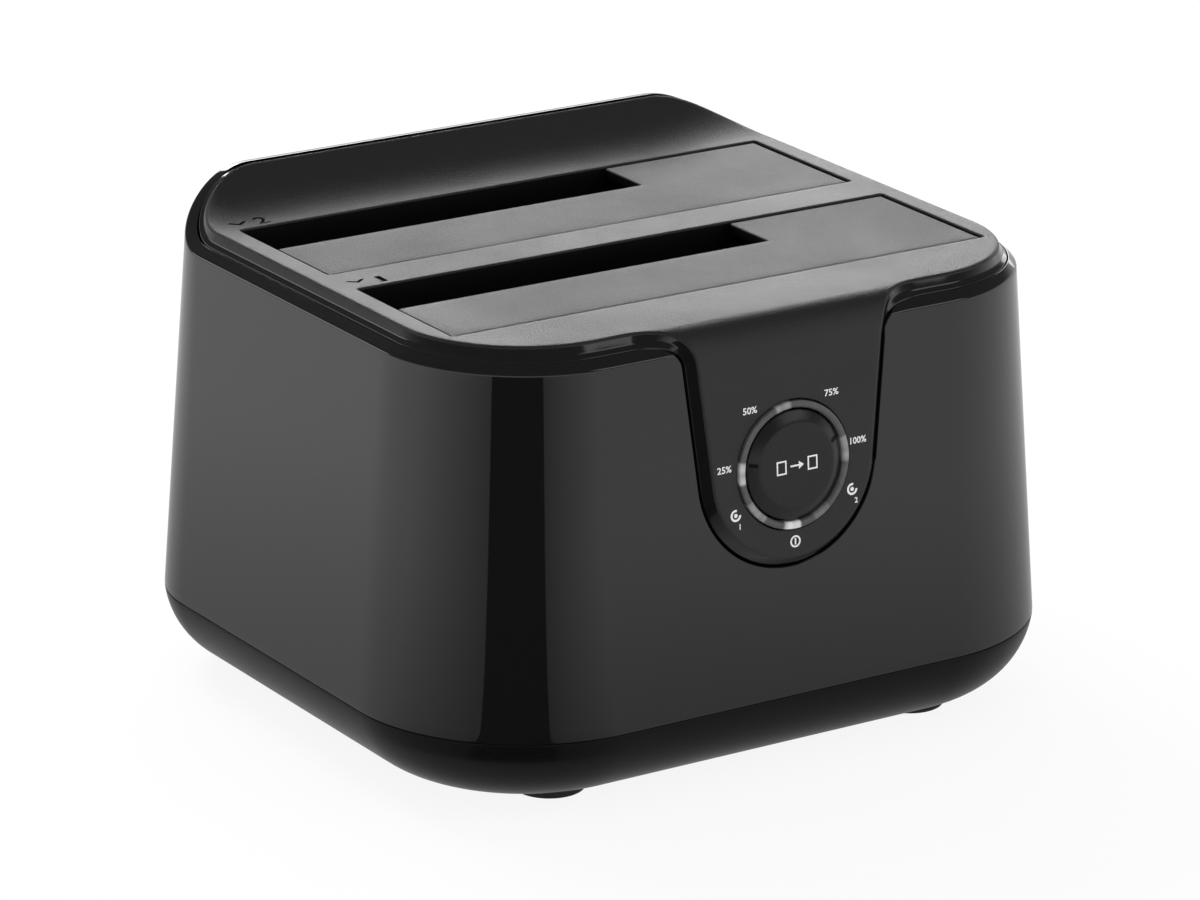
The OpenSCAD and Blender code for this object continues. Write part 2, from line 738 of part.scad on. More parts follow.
module rear_flap() {
    color([0.1, 0.1, 0.102]) flap(bay_ys[1]);
}

module hinge_pins() {
    color([0.6, 0.6, 0.62]) for (y = bay_ys)
        translate([-frame_half + 0.2, y - bay_d / 2 + hinge_in, hinge_z]) rotate([0, 90, 0])
            cylinder(h = 2 * frame_half - 0.4, r = pin_r);
}

// Torsion spring round the pin, with one leg against the collar and one under the flap
module flap_spring(y) {
    axis_y = y - bay_d / 2 + hinge_in;
    leg_r = spring_t / 2;
    translate([spring_x, axis_y, hinge_z]) {
        rotate([0, 90, 0]) difference() {
            cylinder(h = spring_l, r = spring_out);
            translate([0, 0, -1]) cylinder(h = spring_l + 2, r = spring_in);
        }
        translate([1, -spring_in - leg_r, -5]) cylinder(h = 5, r = leg_r);
        translate([spring_l - 1, 0, -spring_in - leg_r]) rotate([-90, 0, 0]) cylinder(h = 9, r = leg_r);
    }
}

module front_flap_spring() {
    color([0.55, 0.55, 0.56]) flap_spring(bay_ys[0]);
}

module rear_flap_spring() {
    color([0.55, 0.55, 0.56]) flap_spring(bay_ys[1]);
}

module clone_button() {
    r = key_d / 2;
    low = key_rise - key_bevel;
    color([0.03, 0.03, 0.032]) on_tongue() {
        translate([0, 0, low]) cylinder(h = key_bevel, r1 = r, r2 = key_face_d / 2);
        translate([0, 0, -key_back]) cylinder(h = low + key_back, r = r);
        translate([0, 0, -key_back]) cylinder(h = key_flange_t, d = ring_id + 2 * key_overlap);
        translate([0, 0, -stem_end]) cylinder(h = stem_end - key_back + 1, d = stem_d);
    }
}

module light_ring() {
    color([0.8, 0.85, 0.9]) on_tongue() {
        difference() {
            union() {
                translate([0, 0, -ring_back]) cylinder(h = ring_back + ring_rise, d = ring_od);
                translate([0, 0, -ring_back]) cylinder(h = ring_flange_t, d = ring_od + 2 * ring_flange);
            }
            translate([0, 0, -ring_back - 1]) cylinder(h = ring_back + 10, d = ring_id);
        }
        for (i = [0 : lamps - 1]) rotate([0, 0, -90 + i * 360 / lamps])
            translate([leg_ring, 0, -leg_end]) cylinder(h = leg_end - ring_back + 0.2, d = leg_d);
    }
}

module button_board() {
    color([0.05, 0.25, 0.12]) on_tongue() difference() {
        translate([-button_board_w / 2, -button_board_h / 2, -button_board_depth - board_t])
            cube([button_board_w, button_board_h, board_t]);
        for (x = [-1, 1]) translate([x * post_x, 0, -button_board_depth - board_t - 1])
            cylinder(h = board_t + 2, d = screw_d + screw_play);
    }
}

module ring_leds() {
    color([0.9, 0.9, 0.8]) on_tongue() for (i = [0 : lamps - 1]) rotate([0, 0, -90 + i * 360 / lamps])
        translate([leg_ring - 0.6, -1, -button_board_depth]) cube([1.2, 2, lamp_h]);
}

module key_switch() {
    color([0.04, 0.04, 0.04]) on_tongue() difference() {
        translate([-switch_w / 2, -switch_w / 2, -button_board_depth]) cube([switch_w, switch_w, switch_h]);
        translate([0, 0, -button_board_depth + 0.6]) cylinder(h = switch_h, d = plunger_d + 2 * plunger_play);
    }
}

module key_plunger() {
    low = button_board_depth - 0.6 - key_travel - 0.2;
    color([0.7, 0.7, 0.65]) on_tongue() translate([0, 0, -low]) cylinder(h = low - stem_end, d = plunger_d);
}

module main_board() {
    color([0.04, 0.22, 0.1]) difference() {
        translate([-board_w / 2, board_front, board_z]) cube([board_w, board_rear - board_front, board_t]);
        at_base_screws() cylinder(h = deck_z, d = boss_d + 1);
        at_board_screws() cylinder(h = deck_z, d = screw_d + screw_play);
    }
}

// Drive socket with a power slot and a signal slot
module drive_socket(y) {
    translate([socket_x - socket_l / 2, y + bay_d / 2 - socket_back - socket_w, board_top]) difference() {
        cube([socket_l, socket_w, socket_h]);
        translate([(socket_l - power_slot - slot_rib - signal_slot) / 2, (socket_w - slot_t) / 2, socket_h - slot_deep]) {
            cube([power_slot, slot_t, slot_deep + 1]);
            translate([power_slot + slot_rib, 0, 0]) cube([signal_slot, slot_t, slot_deep + 1]);
        }
    }
}

module front_socket() {
    color([0.03, 0.03, 0.03]) drive_socket(bay_ys[0]);
}

module rear_socket() {
    color([0.03, 0.03, 0.03]) drive_socket(bay_ys[1]);
}

module socket_contacts() {
    blade = [0.7, 0.4, slot_deep - 1];
    side = (socket_l - power_slot - slot_rib - signal_slot) / 2;
    color([0.8, 0.65, 0.25]) for (y = bay_ys)
        translate([socket_x - socket_l / 2 + side, y + bay_d / 2 - socket_back - (socket_w + slot_t) / 2,
            board_top + socket_h - slot_deep]) {
            for (i = [0 : 14]) translate([power_slot / 2 + (i - 7) * contact_pitch - blade[0] / 2, 0, 0]) cube(blade);
            for (i = [0 : 6])
                translate([power_slot + slot_rib + signal_slot / 2 + (i - 3) * contact_pitch - blade[0] / 2, 0, 0])
                    cube(blade);
        }
}

module usb_shell() {
    wide = usb_w - 2 * usb_t;
    low = usb_h * 0.62;
    color([0.62, 0.62, 0.64]) translate([usb_x, port_y - usb_l + port_face, board_top]) difference() {
        translate([-usb_w / 2, 0, 0]) cube([usb_w, usb_l, usb_h]);
        translate([-wide / 2, usb_t, usb_t]) cube([wide, usb_l, low]);
        translate([-wide * 0.36, usb_t, usb_t]) cube([wide * 0.72, usb_l, usb_h - 2 * usb_t]);
    }
}

module usb_core() {
    wide = usb_w - 2 * usb_t;
    color([0.1, 0.25, 0.6]) translate([usb_x, port_y - usb_l + port_face + usb_t, board_top + usb_t]) {
        translate([-wide / 2, 0, 0]) cube([wide, 3, usb_h * 0.62]);
        translate([-wide * 0.26, 0, usb_h * 0.2]) cube([wide * 0.52, usb_l - 3, usb_h * 0.24]);
        translate([-wide * 0.26, 0, usb_h * 0.66]) cube([wide * 0.52, usb_l - 3, usb_h * 0.11]);
        translate([-wide * 0.26, 0, usb_h * 0.5]) cube([wide * 0.52, 3, usb_h * 0.25]);
    }
}

module dc_jack() {
    color([0.03, 0.03, 0.03]) translate([jack_x, port_y - jack_l, 0]) difference() {
        union() {
            translate([-jack_w / 2, 0, board_top]) cube([jack_w, jack_l - 2.4, jack_h]);
            translate([0, 0, jack_z]) rotate([-90, 0, 0]) cylinder(h = jack_l + port_face, d = jack_w - 1);
        }
        translate([0, 3, jack_z]) rotate([-90, 0, 0]) cylinder(h = jack_l + 2, d = jack_bore);
    }
}

module jack_pin() {
    color([0.75, 0.75, 0.76]) translate([jack_x, port_y - jack_l + 3, jack_z]) rotate([-90, 0, 0])
        cylinder(h = jack_l - 3.5, d = jack_pin_d);
}

module power_switch() {
    back = port_y - power_len;
    color([0.06, 0.06, 0.06]) difference() {
        translate([power_x - power_d / 2, back - power_body, board_top])
            cube([power_d, power_body, 2 * (power_z - board_top) - 2]);
        translate([power_x, back - power_travel - 2.5, power_z]) rotate([-90, 0, 0])
            cylinder(h = 10, d = power_stem_d + 0.2);
    }
}

module power_button() {
    back = port_y - power_len;
    color([0.03, 0.03, 0.03]) translate([power_x, 0, power_z]) rotate([-90, 0, 0]) {
        translate([0, 0, back - 2]) cylinder(h = power_len, d = power_stem_d);
        translate([0, 0, back + power_travel + 0.5])
            cylinder(h = power_len - power_travel - 0.5 + port_face, d = power_d);
    }
}

// Chips lie under the well floors, clear of the sockets and posts
module board_chips() {
    color([0.03, 0.03, 0.03]) translate([0, bays_y, board_top]) {
        translate([small_chip_w, -chip_w - 3, 0]) cube([chip_w, chip_w, chip_h]);
        translate([small_chip_w, small_chip_w, 0]) cube([small_chip_w, small_chip_w, chip_h]);
        translate([-2 * small_chip_w, small_chip_w, 0]) cube([small_chip_w, small_chip_w, chip_h]);
        translate([-4 * small_chip_w, -small_chip_w / 2, 0]) cube([small_chip_w, small_chip_w, chip_h]);
    }
}

module board_capacitors() {
    color([0.12, 0.12, 0.13]) translate([0, 0, board_top]) {
        for (x = [0, -4 * can_d]) translate([x, frame_front - can_d / 2 - 1, 0]) cylinder(h = can_h, d = can_d);
        translate([(jack_x + power_x) / 2, frame_rear + can_d / 2 + 1, 0]) cylinder(h = can_h, d = can_d);
    }
}

module board_coils() {
    color([0.2, 0.2, 0.2]) translate([0, 0, board_top]) {
        translate([-2 * can_d - coil_w / 2, frame_front - coil_w - 1, 0]) cube([coil_w, coil_w, coil_h]);
        translate([usb_x + usb_w, frame_rear + 1, 0]) cube([coil_w, coil_w, coil_h]);
    }
}

// Lead from the main board's plug up to the plug behind the button board
module ribbon() {
    plug_y = button_plug_y();
    plug_z = button_plug_z();
    y = board_front + plug_d;
    low = board_top + plug_h;
    color([0.5, 0.5, 0.52]) difference() {
        translate([ribbon_x, 0, 0]) along_x(0, ribbon_w)
            polygon([[y, low], [y + ribbon_t, low], [y + ribbon_t, low + 4],
                [plug_y + ribbon_t, plug_z - 4], [plug_y + ribbon_t, plug_z], [plug_y, plug_z],
                [plug_y, plug_z - 4], [y, low + 4]]);
        button_plug();
    }
}

// Plug behind the button board
module button_plug() {
    on_tongue() translate([ribbon_x - 1, -button_board_h / 2 + 1, -button_board_depth - board_t - plug_d])
        cube([ribbon_w + 2, plug_h, plug_d]);
}

// Place of the plug behind the button board
function button_plug_z() = button_z - button_board_h / 2 * cos(draft) + 1;
function button_plug_y() = tongue_y(button_plug_z()) + button_board_depth + board_t + 1.4;

module ribbon_plugs() {
    color([0.85, 0.84, 0.78]) {
        translate([ribbon_x - 1, board_front + plug_d + ribbon_t / 2 - plug_d / 2, board_top])
            cube([ribbon_w + 2, plug_d, plug_h]);
        button_plug();
    }
}

module base_screws() {
    color([0.5, 0.5, 0.52]) at_base_screws() translate([0, 0, foot_h + 0.6])
        screw(screw_tip - foot_h - 0.6 - screw_head_h);
}

module frame_screws() {
    color([0.5, 0.5, 0.52]) at_frame_screws() translate([0, 0, frame_ear_z - screw_head_h])
        screw(frame_ear_t + screw_bite);
}

module board_screws() {
    color([0.5, 0.5, 0.52]) at_board_screws() translate([0, 0, board_top + screw_head_h]) mirror([0, 0, 1])
        screw(board_t + screw_bite);
}

module button_board_screws() {
    color([0.5, 0.5, 0.52]) on_tongue() for (x = [-1, 1])
        translate([x * post_x, 0, -button_board_depth - board_t - screw_head_h]) {
            cylinder(h = screw_head_h, d = post_d);
            translate([0, 0, screw_head_h - eps]) cylinder(h = board_t + 4, d = screw_d - 0.6);
        }
}

base_pan();
feet();
outer_shell();
top_cover();
drive_frame();
front_flap();
rear_flap();
hinge_pins();
front_flap_spring();
rear_flap_spring();
clone_button();
light_ring();
button_board();
ring_leds();
key_switch();
key_plunger();
main_board();
front_socket();
rear_socket();
socket_contacts();
usb_shell();
usb_core();
dc_jack();
jack_pin();
power_switch();
power_button();
board_chips();
board_capacitors();
board_coils();
ribbon();
ribbon_plugs();
base_screws();
frame_screws();
board_screws();
button_board_screws();
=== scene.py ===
import bpy
import bmesh
import json
import numpy as np
from mathutils import Matrix, Vector, geometry

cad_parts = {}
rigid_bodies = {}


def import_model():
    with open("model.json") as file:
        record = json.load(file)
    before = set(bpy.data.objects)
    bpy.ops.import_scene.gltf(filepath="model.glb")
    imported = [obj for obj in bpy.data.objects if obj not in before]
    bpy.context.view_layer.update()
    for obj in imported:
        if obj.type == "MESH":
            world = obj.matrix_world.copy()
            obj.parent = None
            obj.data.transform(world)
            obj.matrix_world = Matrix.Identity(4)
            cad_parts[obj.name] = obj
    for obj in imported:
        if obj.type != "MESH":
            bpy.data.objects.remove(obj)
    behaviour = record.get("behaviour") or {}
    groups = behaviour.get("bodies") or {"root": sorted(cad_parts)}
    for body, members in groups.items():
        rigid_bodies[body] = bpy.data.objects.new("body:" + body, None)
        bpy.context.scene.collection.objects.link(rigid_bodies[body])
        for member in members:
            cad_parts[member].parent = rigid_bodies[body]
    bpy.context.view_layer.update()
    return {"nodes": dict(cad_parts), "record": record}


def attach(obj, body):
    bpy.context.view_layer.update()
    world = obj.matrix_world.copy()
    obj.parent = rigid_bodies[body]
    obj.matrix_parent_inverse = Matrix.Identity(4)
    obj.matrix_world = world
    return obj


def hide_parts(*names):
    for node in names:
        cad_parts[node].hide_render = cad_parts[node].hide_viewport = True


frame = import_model()
mm = 0.001
print("frame loaded:", len(frame["nodes"]), "nodes")

# Casing sizes in mm, the same as the solids'
casing = dict(width=127.0, depth=113.0, seam=14.2, draft=4.1, frontRadius=31.0, rearRadius=23.0,
              wall=1.8, deck=78.3, deckEdge=8.05, perCorner=40, perSide=14)
rearY = casing["depth"] / 2
tilt = np.radians(casing["draft"])

# Line of the deck in side view: tongue, waterfall bend, flat deck, rear sweep
deckLine = dict(keyHeight=53.5, proud=1.6, fallRadius=5.0, sweepStart=33.855, sweepRadius=20.65)

# Rows on a rounded corner, angle of a sharp edge in degrees, weld distance in mm of pieces and of fine marks
softSteps, sharpAngle, weldGap, markWeld = 5, 38.0, 0.002, 0.0005


def leanAt(z):
    return (z - casing["seam"]) * np.tan(tilt)


def unit(v):
    return v / np.linalg.norm(v, axis=-1, keepdims=True)


def ray(turn):
    return np.stack([np.cos(turn), np.sin(turn)], -1)


def ringOf(count):
    return ray(np.linspace(0, 2 * np.pi, count, endpoint=False))


# Share from 0 to 1, eased at both ends
def ease(t):
    return t * t * (3 - 2 * t)


# Flat points given a height, one for all or one each
def atHeight(points, z):
    return np.c_[points, np.broadcast_to(z, len(points))]


def gridPoints(xs, ys):
    return np.stack(np.meshgrid(xs, ys), -1).reshape(-1, 2)


def boxLine(x, y, wide, tall):
    return np.array([(x - wide / 2, y - tall / 2), (x + wide / 2, y - tall / 2), (x + wide / 2, y + tall / 2),
                     (x - wide / 2, y + tall / 2)])


# Corner centre, radius and turn of each station round the casing, anticlockwise from the front right
def makeLoop():
    fr, rr = casing["frontRadius"], casing["rearRadius"]
    fx, fy = casing["width"] / 2 - fr, fr - rearY
    rx, ry = casing["width"] / 2 - rr, rearY - rr
    corners = np.array([[fx, fy, fr], [rx, ry, rr], [-rx, ry, rr], [-fx, fy, fr]])
    t = np.linspace(0, 1, casing["perSide"] + 2)[1:-1, None]
    parts = []
    for i in range(4):
        turn = np.radians(np.linspace(-90, 0, casing["perCorner"]) + 90 * i)
        side = corners[i] * (1 - t) + corners[(i + 1) % 4] * t
        spots = np.r_[np.repeat(corners[i:i + 1], len(turn), 0), side]
        parts.append(np.c_[spots, np.r_[turn, np.full(len(t), turn[-1])]])
    return np.concatenate(parts)


casingLoop = makeLoop()


# Stations moved in by an offset: centre + (radius - offset) * direction
def loopPoint(off, z):
    spots = casingLoop[:, :2] + (casingLoop[:, 2] - off)[:, None] * ray(casingLoop[:, 3])
    return atHeight(spots, z)


# Corners of a profile rounded with short quadratic curves: its rows become more rows
def softProfile(points, sizes, closed=False):
    rows, count = [], len(points)
    for i, spot in enumerate(points):
        if np.max(sizes[i]) <= 0 or (not closed and i in (0, count - 1)):
            rows.append(spot)
            continue
        size = np.broadcast_to(sizes[i], len(spot))[:, None]
        start = spot + unit(points[i - 1] - spot) * size
        end = spot + unit(points[(i + 1) % count] - spot) * size
        for t in np.linspace(0, 1, softSteps):
            rows.append(start * (1 - t) ** 2 + 2 * spot * t * (1 - t) + end * t ** 2)
    return np.array(rows)


# Quads between neighbouring rows of a grid, with the columns or the rows joined up if asked
def gridFaces(rows, cols, closedCols=True, closedRows=False):
    r = np.arange(rows if closedRows else rows - 1)[:, None]
    c = np.arange(cols if closedCols else cols - 1)[None, :]
    r2, c2 = (r + 1) % rows, (c + 1) % cols
    quads = np.stack(np.broadcast_arrays(r * cols + c, r * cols + c2, r2 * cols + c2, r2 * cols + c), -1)
    return quads.reshape(-1, 4).tolist()


# The same for a tube with both ends closed
def cappedFaces(rows, cols):
    last = cols * (rows - 1)
    return gridFaces(rows, cols) + [list(range(cols))[::-1], list(range(last, last + cols))]


# Part from a softened profile, and the look of its faces up to the first rounded corner and after it
def band(profile, sizes, looks):
    rows = softProfile(profile, sizes)
    count = len(profile[0])
    kinds = np.where(np.arange(len(rows) - 1) < softSteps, *looks)
    return (rows, gridFaces(len(rows), count)), np.repeat(kinds, count)


# Profile of radius and height turned round an axis
def turned(profile, soft, steps, closed=False):
    rows = softProfile(np.array(profile, float)[:, None], soft, closed)[:, 0]
    points = np.array([atHeight(ringOf(steps) * r, h) for r, h in rows])
    return points, gridFaces(len(rows), steps, True, closed)


def smooth(mesh, sharp=sharpAngle):
    mesh.polygons.foreach_set("use_smooth", np.ones(len(mesh.polygons), dtype=bool))
    mesh.set_sharp_from_angle(angle=np.radians(sharp))


# Piece from parts, each a pair of points in mm and faces, welded where they meet and placed if asked
# finish is one material, or a list with an index for each face
def makePiece(name, parts, finish, place=None, weld=weldGap, turnOut=True, index=None):
    verts, faces, count = [], [], 0
    for points, cells in parts:
        verts.append(np.asarray(points, float).reshape(-1, 3))
        faces += [[v + count for v in cell] for cell in cells]
        count += len(verts[-1])
    verts = np.concatenate(verts)
    mesh = bpy.data.meshes.new(name)
    mesh.from_pydata(((place(verts) if place else verts) * mm).tolist(), [], faces)
    if index is not None:
        mesh.polygons.foreach_set("material_index", np.asarray(index, dtype=np.int32))
    work = bmesh.new()
    work.from_mesh(mesh)
    bmesh.ops.remove_doubles(work, verts=work.verts, dist=weld * mm)
    bmesh.ops.dissolve_degenerate(work, edges=work.edges, dist=weld * mm / 10)
    if turnOut:
        bmesh.ops.recalc_face_normals(work, faces=work.faces)
    work.to_mesh(mesh)
    work.free()
    smooth(mesh)
    for each in finish if isinstance(finish, list) else [finish]:
        mesh.materials.append(each)
    piece = bpy.data.objects.new(name, mesh)
    bpy.context.collection.objects.link(piece)
    return piece


def vertexSpots(mesh):
    spots = np.empty(len(mesh.vertices) * 3)
    mesh.vertices.foreach_get("co", spots)
    return spots.reshape(-1, 3)


def setAttribute(mesh, name, values):
    mesh.attributes.new(name, "FLOAT", "POINT").data.foreach_set("value", values)


def settle(piece, body, slot, *nodes):
    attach(piece, body)
    if nodes:
        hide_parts(*nodes)


# Cut a piece with another and throw the cutter away
def cutAway(piece, cutter):
    step = piece.modifiers.new("cut", "BOOLEAN")
    step.operation, step.solver, step.object = "DIFFERENCE", "EXACT", cutter
    view = bpy.context.evaluated_depsgraph_get()
    fresh = bpy.data.meshes.new_from_object(piece.evaluated_get(view))
    piece.modifiers.clear()
    old, spent = piece.data, cutter.data
    piece.data = fresh
    fresh.name = piece.name
    bpy.data.objects.remove(cutter)
    for mesh in (old, spent):
        bpy.data.meshes.remove(mesh)


# Even-odd test of points against a closed ring
def insideRing(points, ring):
    a, b = ring, np.roll(ring, -1, 0)
    px, py = points[:, 0, None], points[:, 1, None]
    spans = (a[None, :, 1] > py) != (b[None, :, 1] > py)
    rise = np.where(b[:, 1] == a[:, 1], 1e-12, b[:, 1] - a[:, 1])
    cross = a[None, :, 0] + (py - a[None, :, 1]) / rise * (b[:, 0] - a[:, 0])
    return (spans & (px < cross)).sum(1) % 2 == 1


# Points inside a ring and clear of holes that are grown by a share
def clearPoints(points, ring, holes=(), grow=1.0):
    keep = insideRing(points, ring)
    for hole in holes:
        middle = hole.mean(0)
        keep &= ~insideRing(points, middle + (hole - middle) * grow)
    return points[keep]


# Flat patch of triangles between an outer ring, hole rings and loose points, in two coordinates
def flatPatch(outer, holes=(), loose=()):
    points, edges, count = [], [], 0
    for ring in (outer, *holes):
        n = len(ring)
        points += [Vector(p) for p in ring.tolist()]
        edges += [(count + i, count + (i + 1) % n) for i in range(n)]
        count += n
    points += [Vector(p) for p in np.asarray(loose).reshape(-1, 2).tolist()]
    spots, _, cells, _, _, _ = geometry.delaunay_2d_cdt(points, edges, [], 0, 1e-7)
    spots, cells = np.array([tuple(p) for p in spots]), np.array(cells)
    middle = spots[cells].mean(1)
    keep = insideRing(middle, outer)
    for ring in holes:
        keep &= ~insideRing(middle, ring)
    return spots, cells[keep].tolist()


# Directions back and ahead from each corner, and the outward normals of its two edges
def cornerSides(corners):
    back, ahead = (unit(np.roll(corners, way, 0) - corners) for way in (1, -1))
    return back, ahead, np.stack([-back[:, 1], back[:, 0]], -1), np.stack([ahead[:, 1], -ahead[:, 0]], -1)


# Outline with each corner rounded; gives points and outward directions, anticlockwise
def roundOutline(corners, radii, steps=6):
    corners = np.asarray(corners, float)
    back, ahead, normal, _ = cornerSides(corners)
    bend = back[:, 1] * ahead[:, 0] - back[:, 0] * ahead[:, 1]
    sign = np.where(bend > 0, 1.0, -1.0)[:, None]
    half = np.arctan2(np.abs(bend), -(back * ahead).sum(1))[:, None] / 2
    radii = np.broadcast_to(radii, len(corners))[:, None]
    centre = corners + back * radii * np.tan(half) - sign * radii * normal
    turn = np.linspace(0, 1, steps) * 2 * half * sign
    out = np.stack([normal[:, :1] * np.cos(turn) - normal[:, 1:] * np.sin(turn),
                    normal[:, :1] * np.sin(turn) + normal[:, 1:] * np.cos(turn)], -1)
    points = centre[:, None] + (sign * radii)[:, None] * out
    return points.reshape(-1, 2), out.reshape(-1, 2)


# Corners moved in square to both of their edges
def insetCorners(corners, inset):
    corners = np.asarray(corners, float)
    _, _, first, second = cornerSides(corners)
    return corners - (first + second) / (1 + (first * second).sum(1, keepdims=True)) * inset


# Materials. Inputs of a node: a socket is linked, anything else is a constant
def setInputs(node, inputs):
    for name, value in inputs.items():
        if isinstance(value, bpy.types.NodeSocket):
            node.id_data.links.new(value, node.inputs[name])
        else:
            node.inputs[name].default_value = value
    return node


def addNode(tree, kind, inputs=(), **settings):
    node = tree.nodes.new("ShaderNode" + kind)
    for name, value in settings.items():
        setattr(node, name, value)
    return setInputs(node, dict(inputs))


def maths(tree, operation, *values):
    return addNode(tree, "Math", dict(enumerate(values)), operation=operation).outputs[0]


def mixed(tree, kind, share, first, second):
    return addNode(tree, "Mix", {"Factor": share, "A": first, "B": second}, data_type=kind).outputs["Result"]


def mapRange(tree, value, source, target, kind="LINEAR"):
    ends = {"From Min": source[0], "From Max": source[1], "To Min": target[0], "To Max": target[1]}
    return addNode(tree, "MapRange", {"Value": value, **ends}, interpolation_type=kind).outputs["Result"]


def objectPlace(tree):
    return addNode(tree, "TexCoord").outputs["Object"]


def newMaterial(name):
    made = bpy.data.materials.new(name)
    made.use_nodes = True
    return made, made.node_tree


# An effect shared by several finishes is a node group
def newGroup(name, ins, outs):
    group = bpy.data.node_groups.new(name, "ShaderNodeTree")
    for label, value in ins.items():
        group.interface.new_socket(label, in_out="INPUT", socket_type="NodeSocketFloat").default_value = value
    for label, kind in outs.items():
        group.interface.new_socket(label, in_out="OUTPUT", socket_type="NodeSocket" + kind)
    return group, group.nodes.new("NodeGroupInput").outputs, group.nodes.new("NodeGroupOutput")


# Moulded grain: fine noise and cells as a bump, with a speck value for colour
def grainGroup(cellShare=0.6, distance=0.0002):
    group, given, result = newGroup("mouldedGrain", dict(Scale=1500.0, Depth=0.1), dict(Normal="Vector", Speck="Float"))
    spot = {"Vector": objectPlace(group), "Scale": given["Scale"]}
    noise = addNode(group, "TexNoise", {**spot, "Detail": 3.0, "Roughness": 0.6}).outputs["Fac"]
    cells = addNode(group, "TexVoronoi", {**spot, "Randomness": 1.0}).outputs["Distance"]
    height = maths(group, "MULTIPLY_ADD", cells, cellShare, noise)
    bump = addNode(group, "Bump", {"Distance": distance, "Strength": given["Depth"], "Height": height})
    setInputs(result, {"Normal": bump.outputs["Normal"], "Speck": noise})
    return group


# Handling: broad cloudy value for faint smears and dust
def handlingGroup(thin=0.35, thick=0.7):
    group, given, result = newGroup("handling", dict(Scale=30.0, Low=0.2, High=0.3), dict(Value="Float"))
    noise = addNode(group, "TexNoise", {"Vector": objectPlace(group), "Scale": given["Scale"], "Detail": 5.0,
                                        "Roughness": 0.62, "Distortion": 0.4}).outputs["Fac"]
    setInputs(result, {"Value": mapRange(group, noise, (thin, thick), (given["Low"], given["High"]))})
    return group


grain, handling = grainGroup(), handlingGroup()

# dark and light are the two tones, rough the low and high gloss, grain and depth the moulded texture; the clear ring's
# extra tone is the colour of its painted glow and highlights
finishes = {
    "shell_gloss": dict(dark=(0.0035, 0.0035, 0.004), light=(0.006, 0.006, 0.0065), rough=(0.03, 0.06),
                        grain=700.0, depth=0.006, smear=14.0, ior=1.6),
    "cover_matte": dict(dark=(0.009, 0.009, 0.0095), light=(0.017, 0.017, 0.0175), rough=(0.4, 0.5),
                        grain=4000.0, depth=0.4, smear=22.0),
    "cover_band": dict(dark=(0.004, 0.004, 0.0045), light=(0.007, 0.007, 0.0075), rough=(0.08, 0.13),
                       grain=900.0, depth=0.01, smear=20.0, ior=1.55),
    "flap_matte": dict(dark=(0.036, 0.036, 0.037), light=(0.064, 0.064, 0.065), rough=(0.46, 0.58),
                       grain=3600.0, depth=0.7, smear=26.0),
    "pan_satin": dict(dark=(0.003, 0.003, 0.0035), light=(0.006, 0.006, 0.0065), rough=(0.22, 0.3),
                      grain=2400.0, depth=0.06, smear=24.0, ior=1.25),
    "inner_black": dict(dark=(0.0015, 0.0015, 0.0015), light=(0.003, 0.003, 0.003), rough=(0.5, 0.65),
                        grain=1800.0, depth=0.15, smear=40.0, ior=1.25),
    "key_satin": dict(dark=(0.008, 0.008, 0.009), light=(0.013, 0.013, 0.014), rough=(0.2, 0.28),
                      grain=2800.0, depth=0.06, smear=60.0, ior=1.4),
    "rubber": dict(dark=(0.01, 0.01, 0.01), light=(0.02, 0.02, 0.02), rough=(0.6, 0.75),
                   grain=1500.0, depth=0.3, smear=80.0),
    "steel": dict(dark=(0.5, 0.5, 0.51), light=(0.66, 0.66, 0.67), rough=(0.22, 0.36),
                  grain=900.0, depth=0.05, smear=120.0, metal=1.0),
    "board": dict(dark=(0.012, 0.09, 0.035), light=(0.02, 0.13, 0.05), rough=(0.3, 0.42),
                  grain=900.0, depth=0.08, smear=60.0),
    "lamp": dict(dark=(0.7, 0.68, 0.55), light=(0.85, 0.83, 0.72), rough=(0.25, 0.35),
                 grain=1800.0, depth=0.04, smear=200.0),
    "moulding": dict(dark=(0.012, 0.012, 0.012), light=(0.024, 0.024, 0.024), rough=(0.38, 0.5),
                     grain=2000.0, depth=0.12, smear=70.0),
    "contact": dict(dark=(0.72, 0.5, 0.16), light=(0.86, 0.64, 0.26), rough=(0.2, 0.3),
                    grain=1200.0, depth=0.04, smear=150.0, metal=1.0),
    "port_metal": dict(dark=(0.5, 0.5, 0.5), light=(0.68, 0.68, 0.68), rough=(0.2, 0.34),
                       grain=1100.0, depth=0.05, smear=90.0, metal=1.0),
    "port_blue": dict(dark=(0.008, 0.06, 0.28), light=(0.016, 0.1, 0.4), rough=(0.35, 0.45),
                      grain=1600.0, depth=0.08, smear=90.0),
    "can": dict(dark=(0.02, 0.02, 0.025), light=(0.05, 0.05, 0.055), rough=(0.28, 0.4),
                grain=1200.0, depth=0.05, smear=90.0),
    "lead": dict(dark=(0.3, 0.3, 0.3), light=(0.45, 0.45, 0.45), rough=(0.45, 0.6),
                 grain=1400.0, depth=0.1, smear=90.0),
    "plug": dict(dark=(0.6, 0.58, 0.5), light=(0.75, 0.73, 0.66), rough=(0.4, 0.5),
                 grain=1500.0, depth=0.1, smear=90.0),
    "mark_pale": dict(dark=(0.84, 0.84, 0.84), light=(0.95, 0.95, 0.95), rough=(0.45, 0.6),
                      grain=3000.0, depth=0.08, smear=300.0),
    "ring_clear": dict(dark=(0.05, 0.05, 0.052), light=(0.1, 0.1, 0.103), rough=(0.1, 0.2),
                       grain=900.0, depth=0.03, smear=200.0, lit=(0.85, 0.85, 0.86)),
}
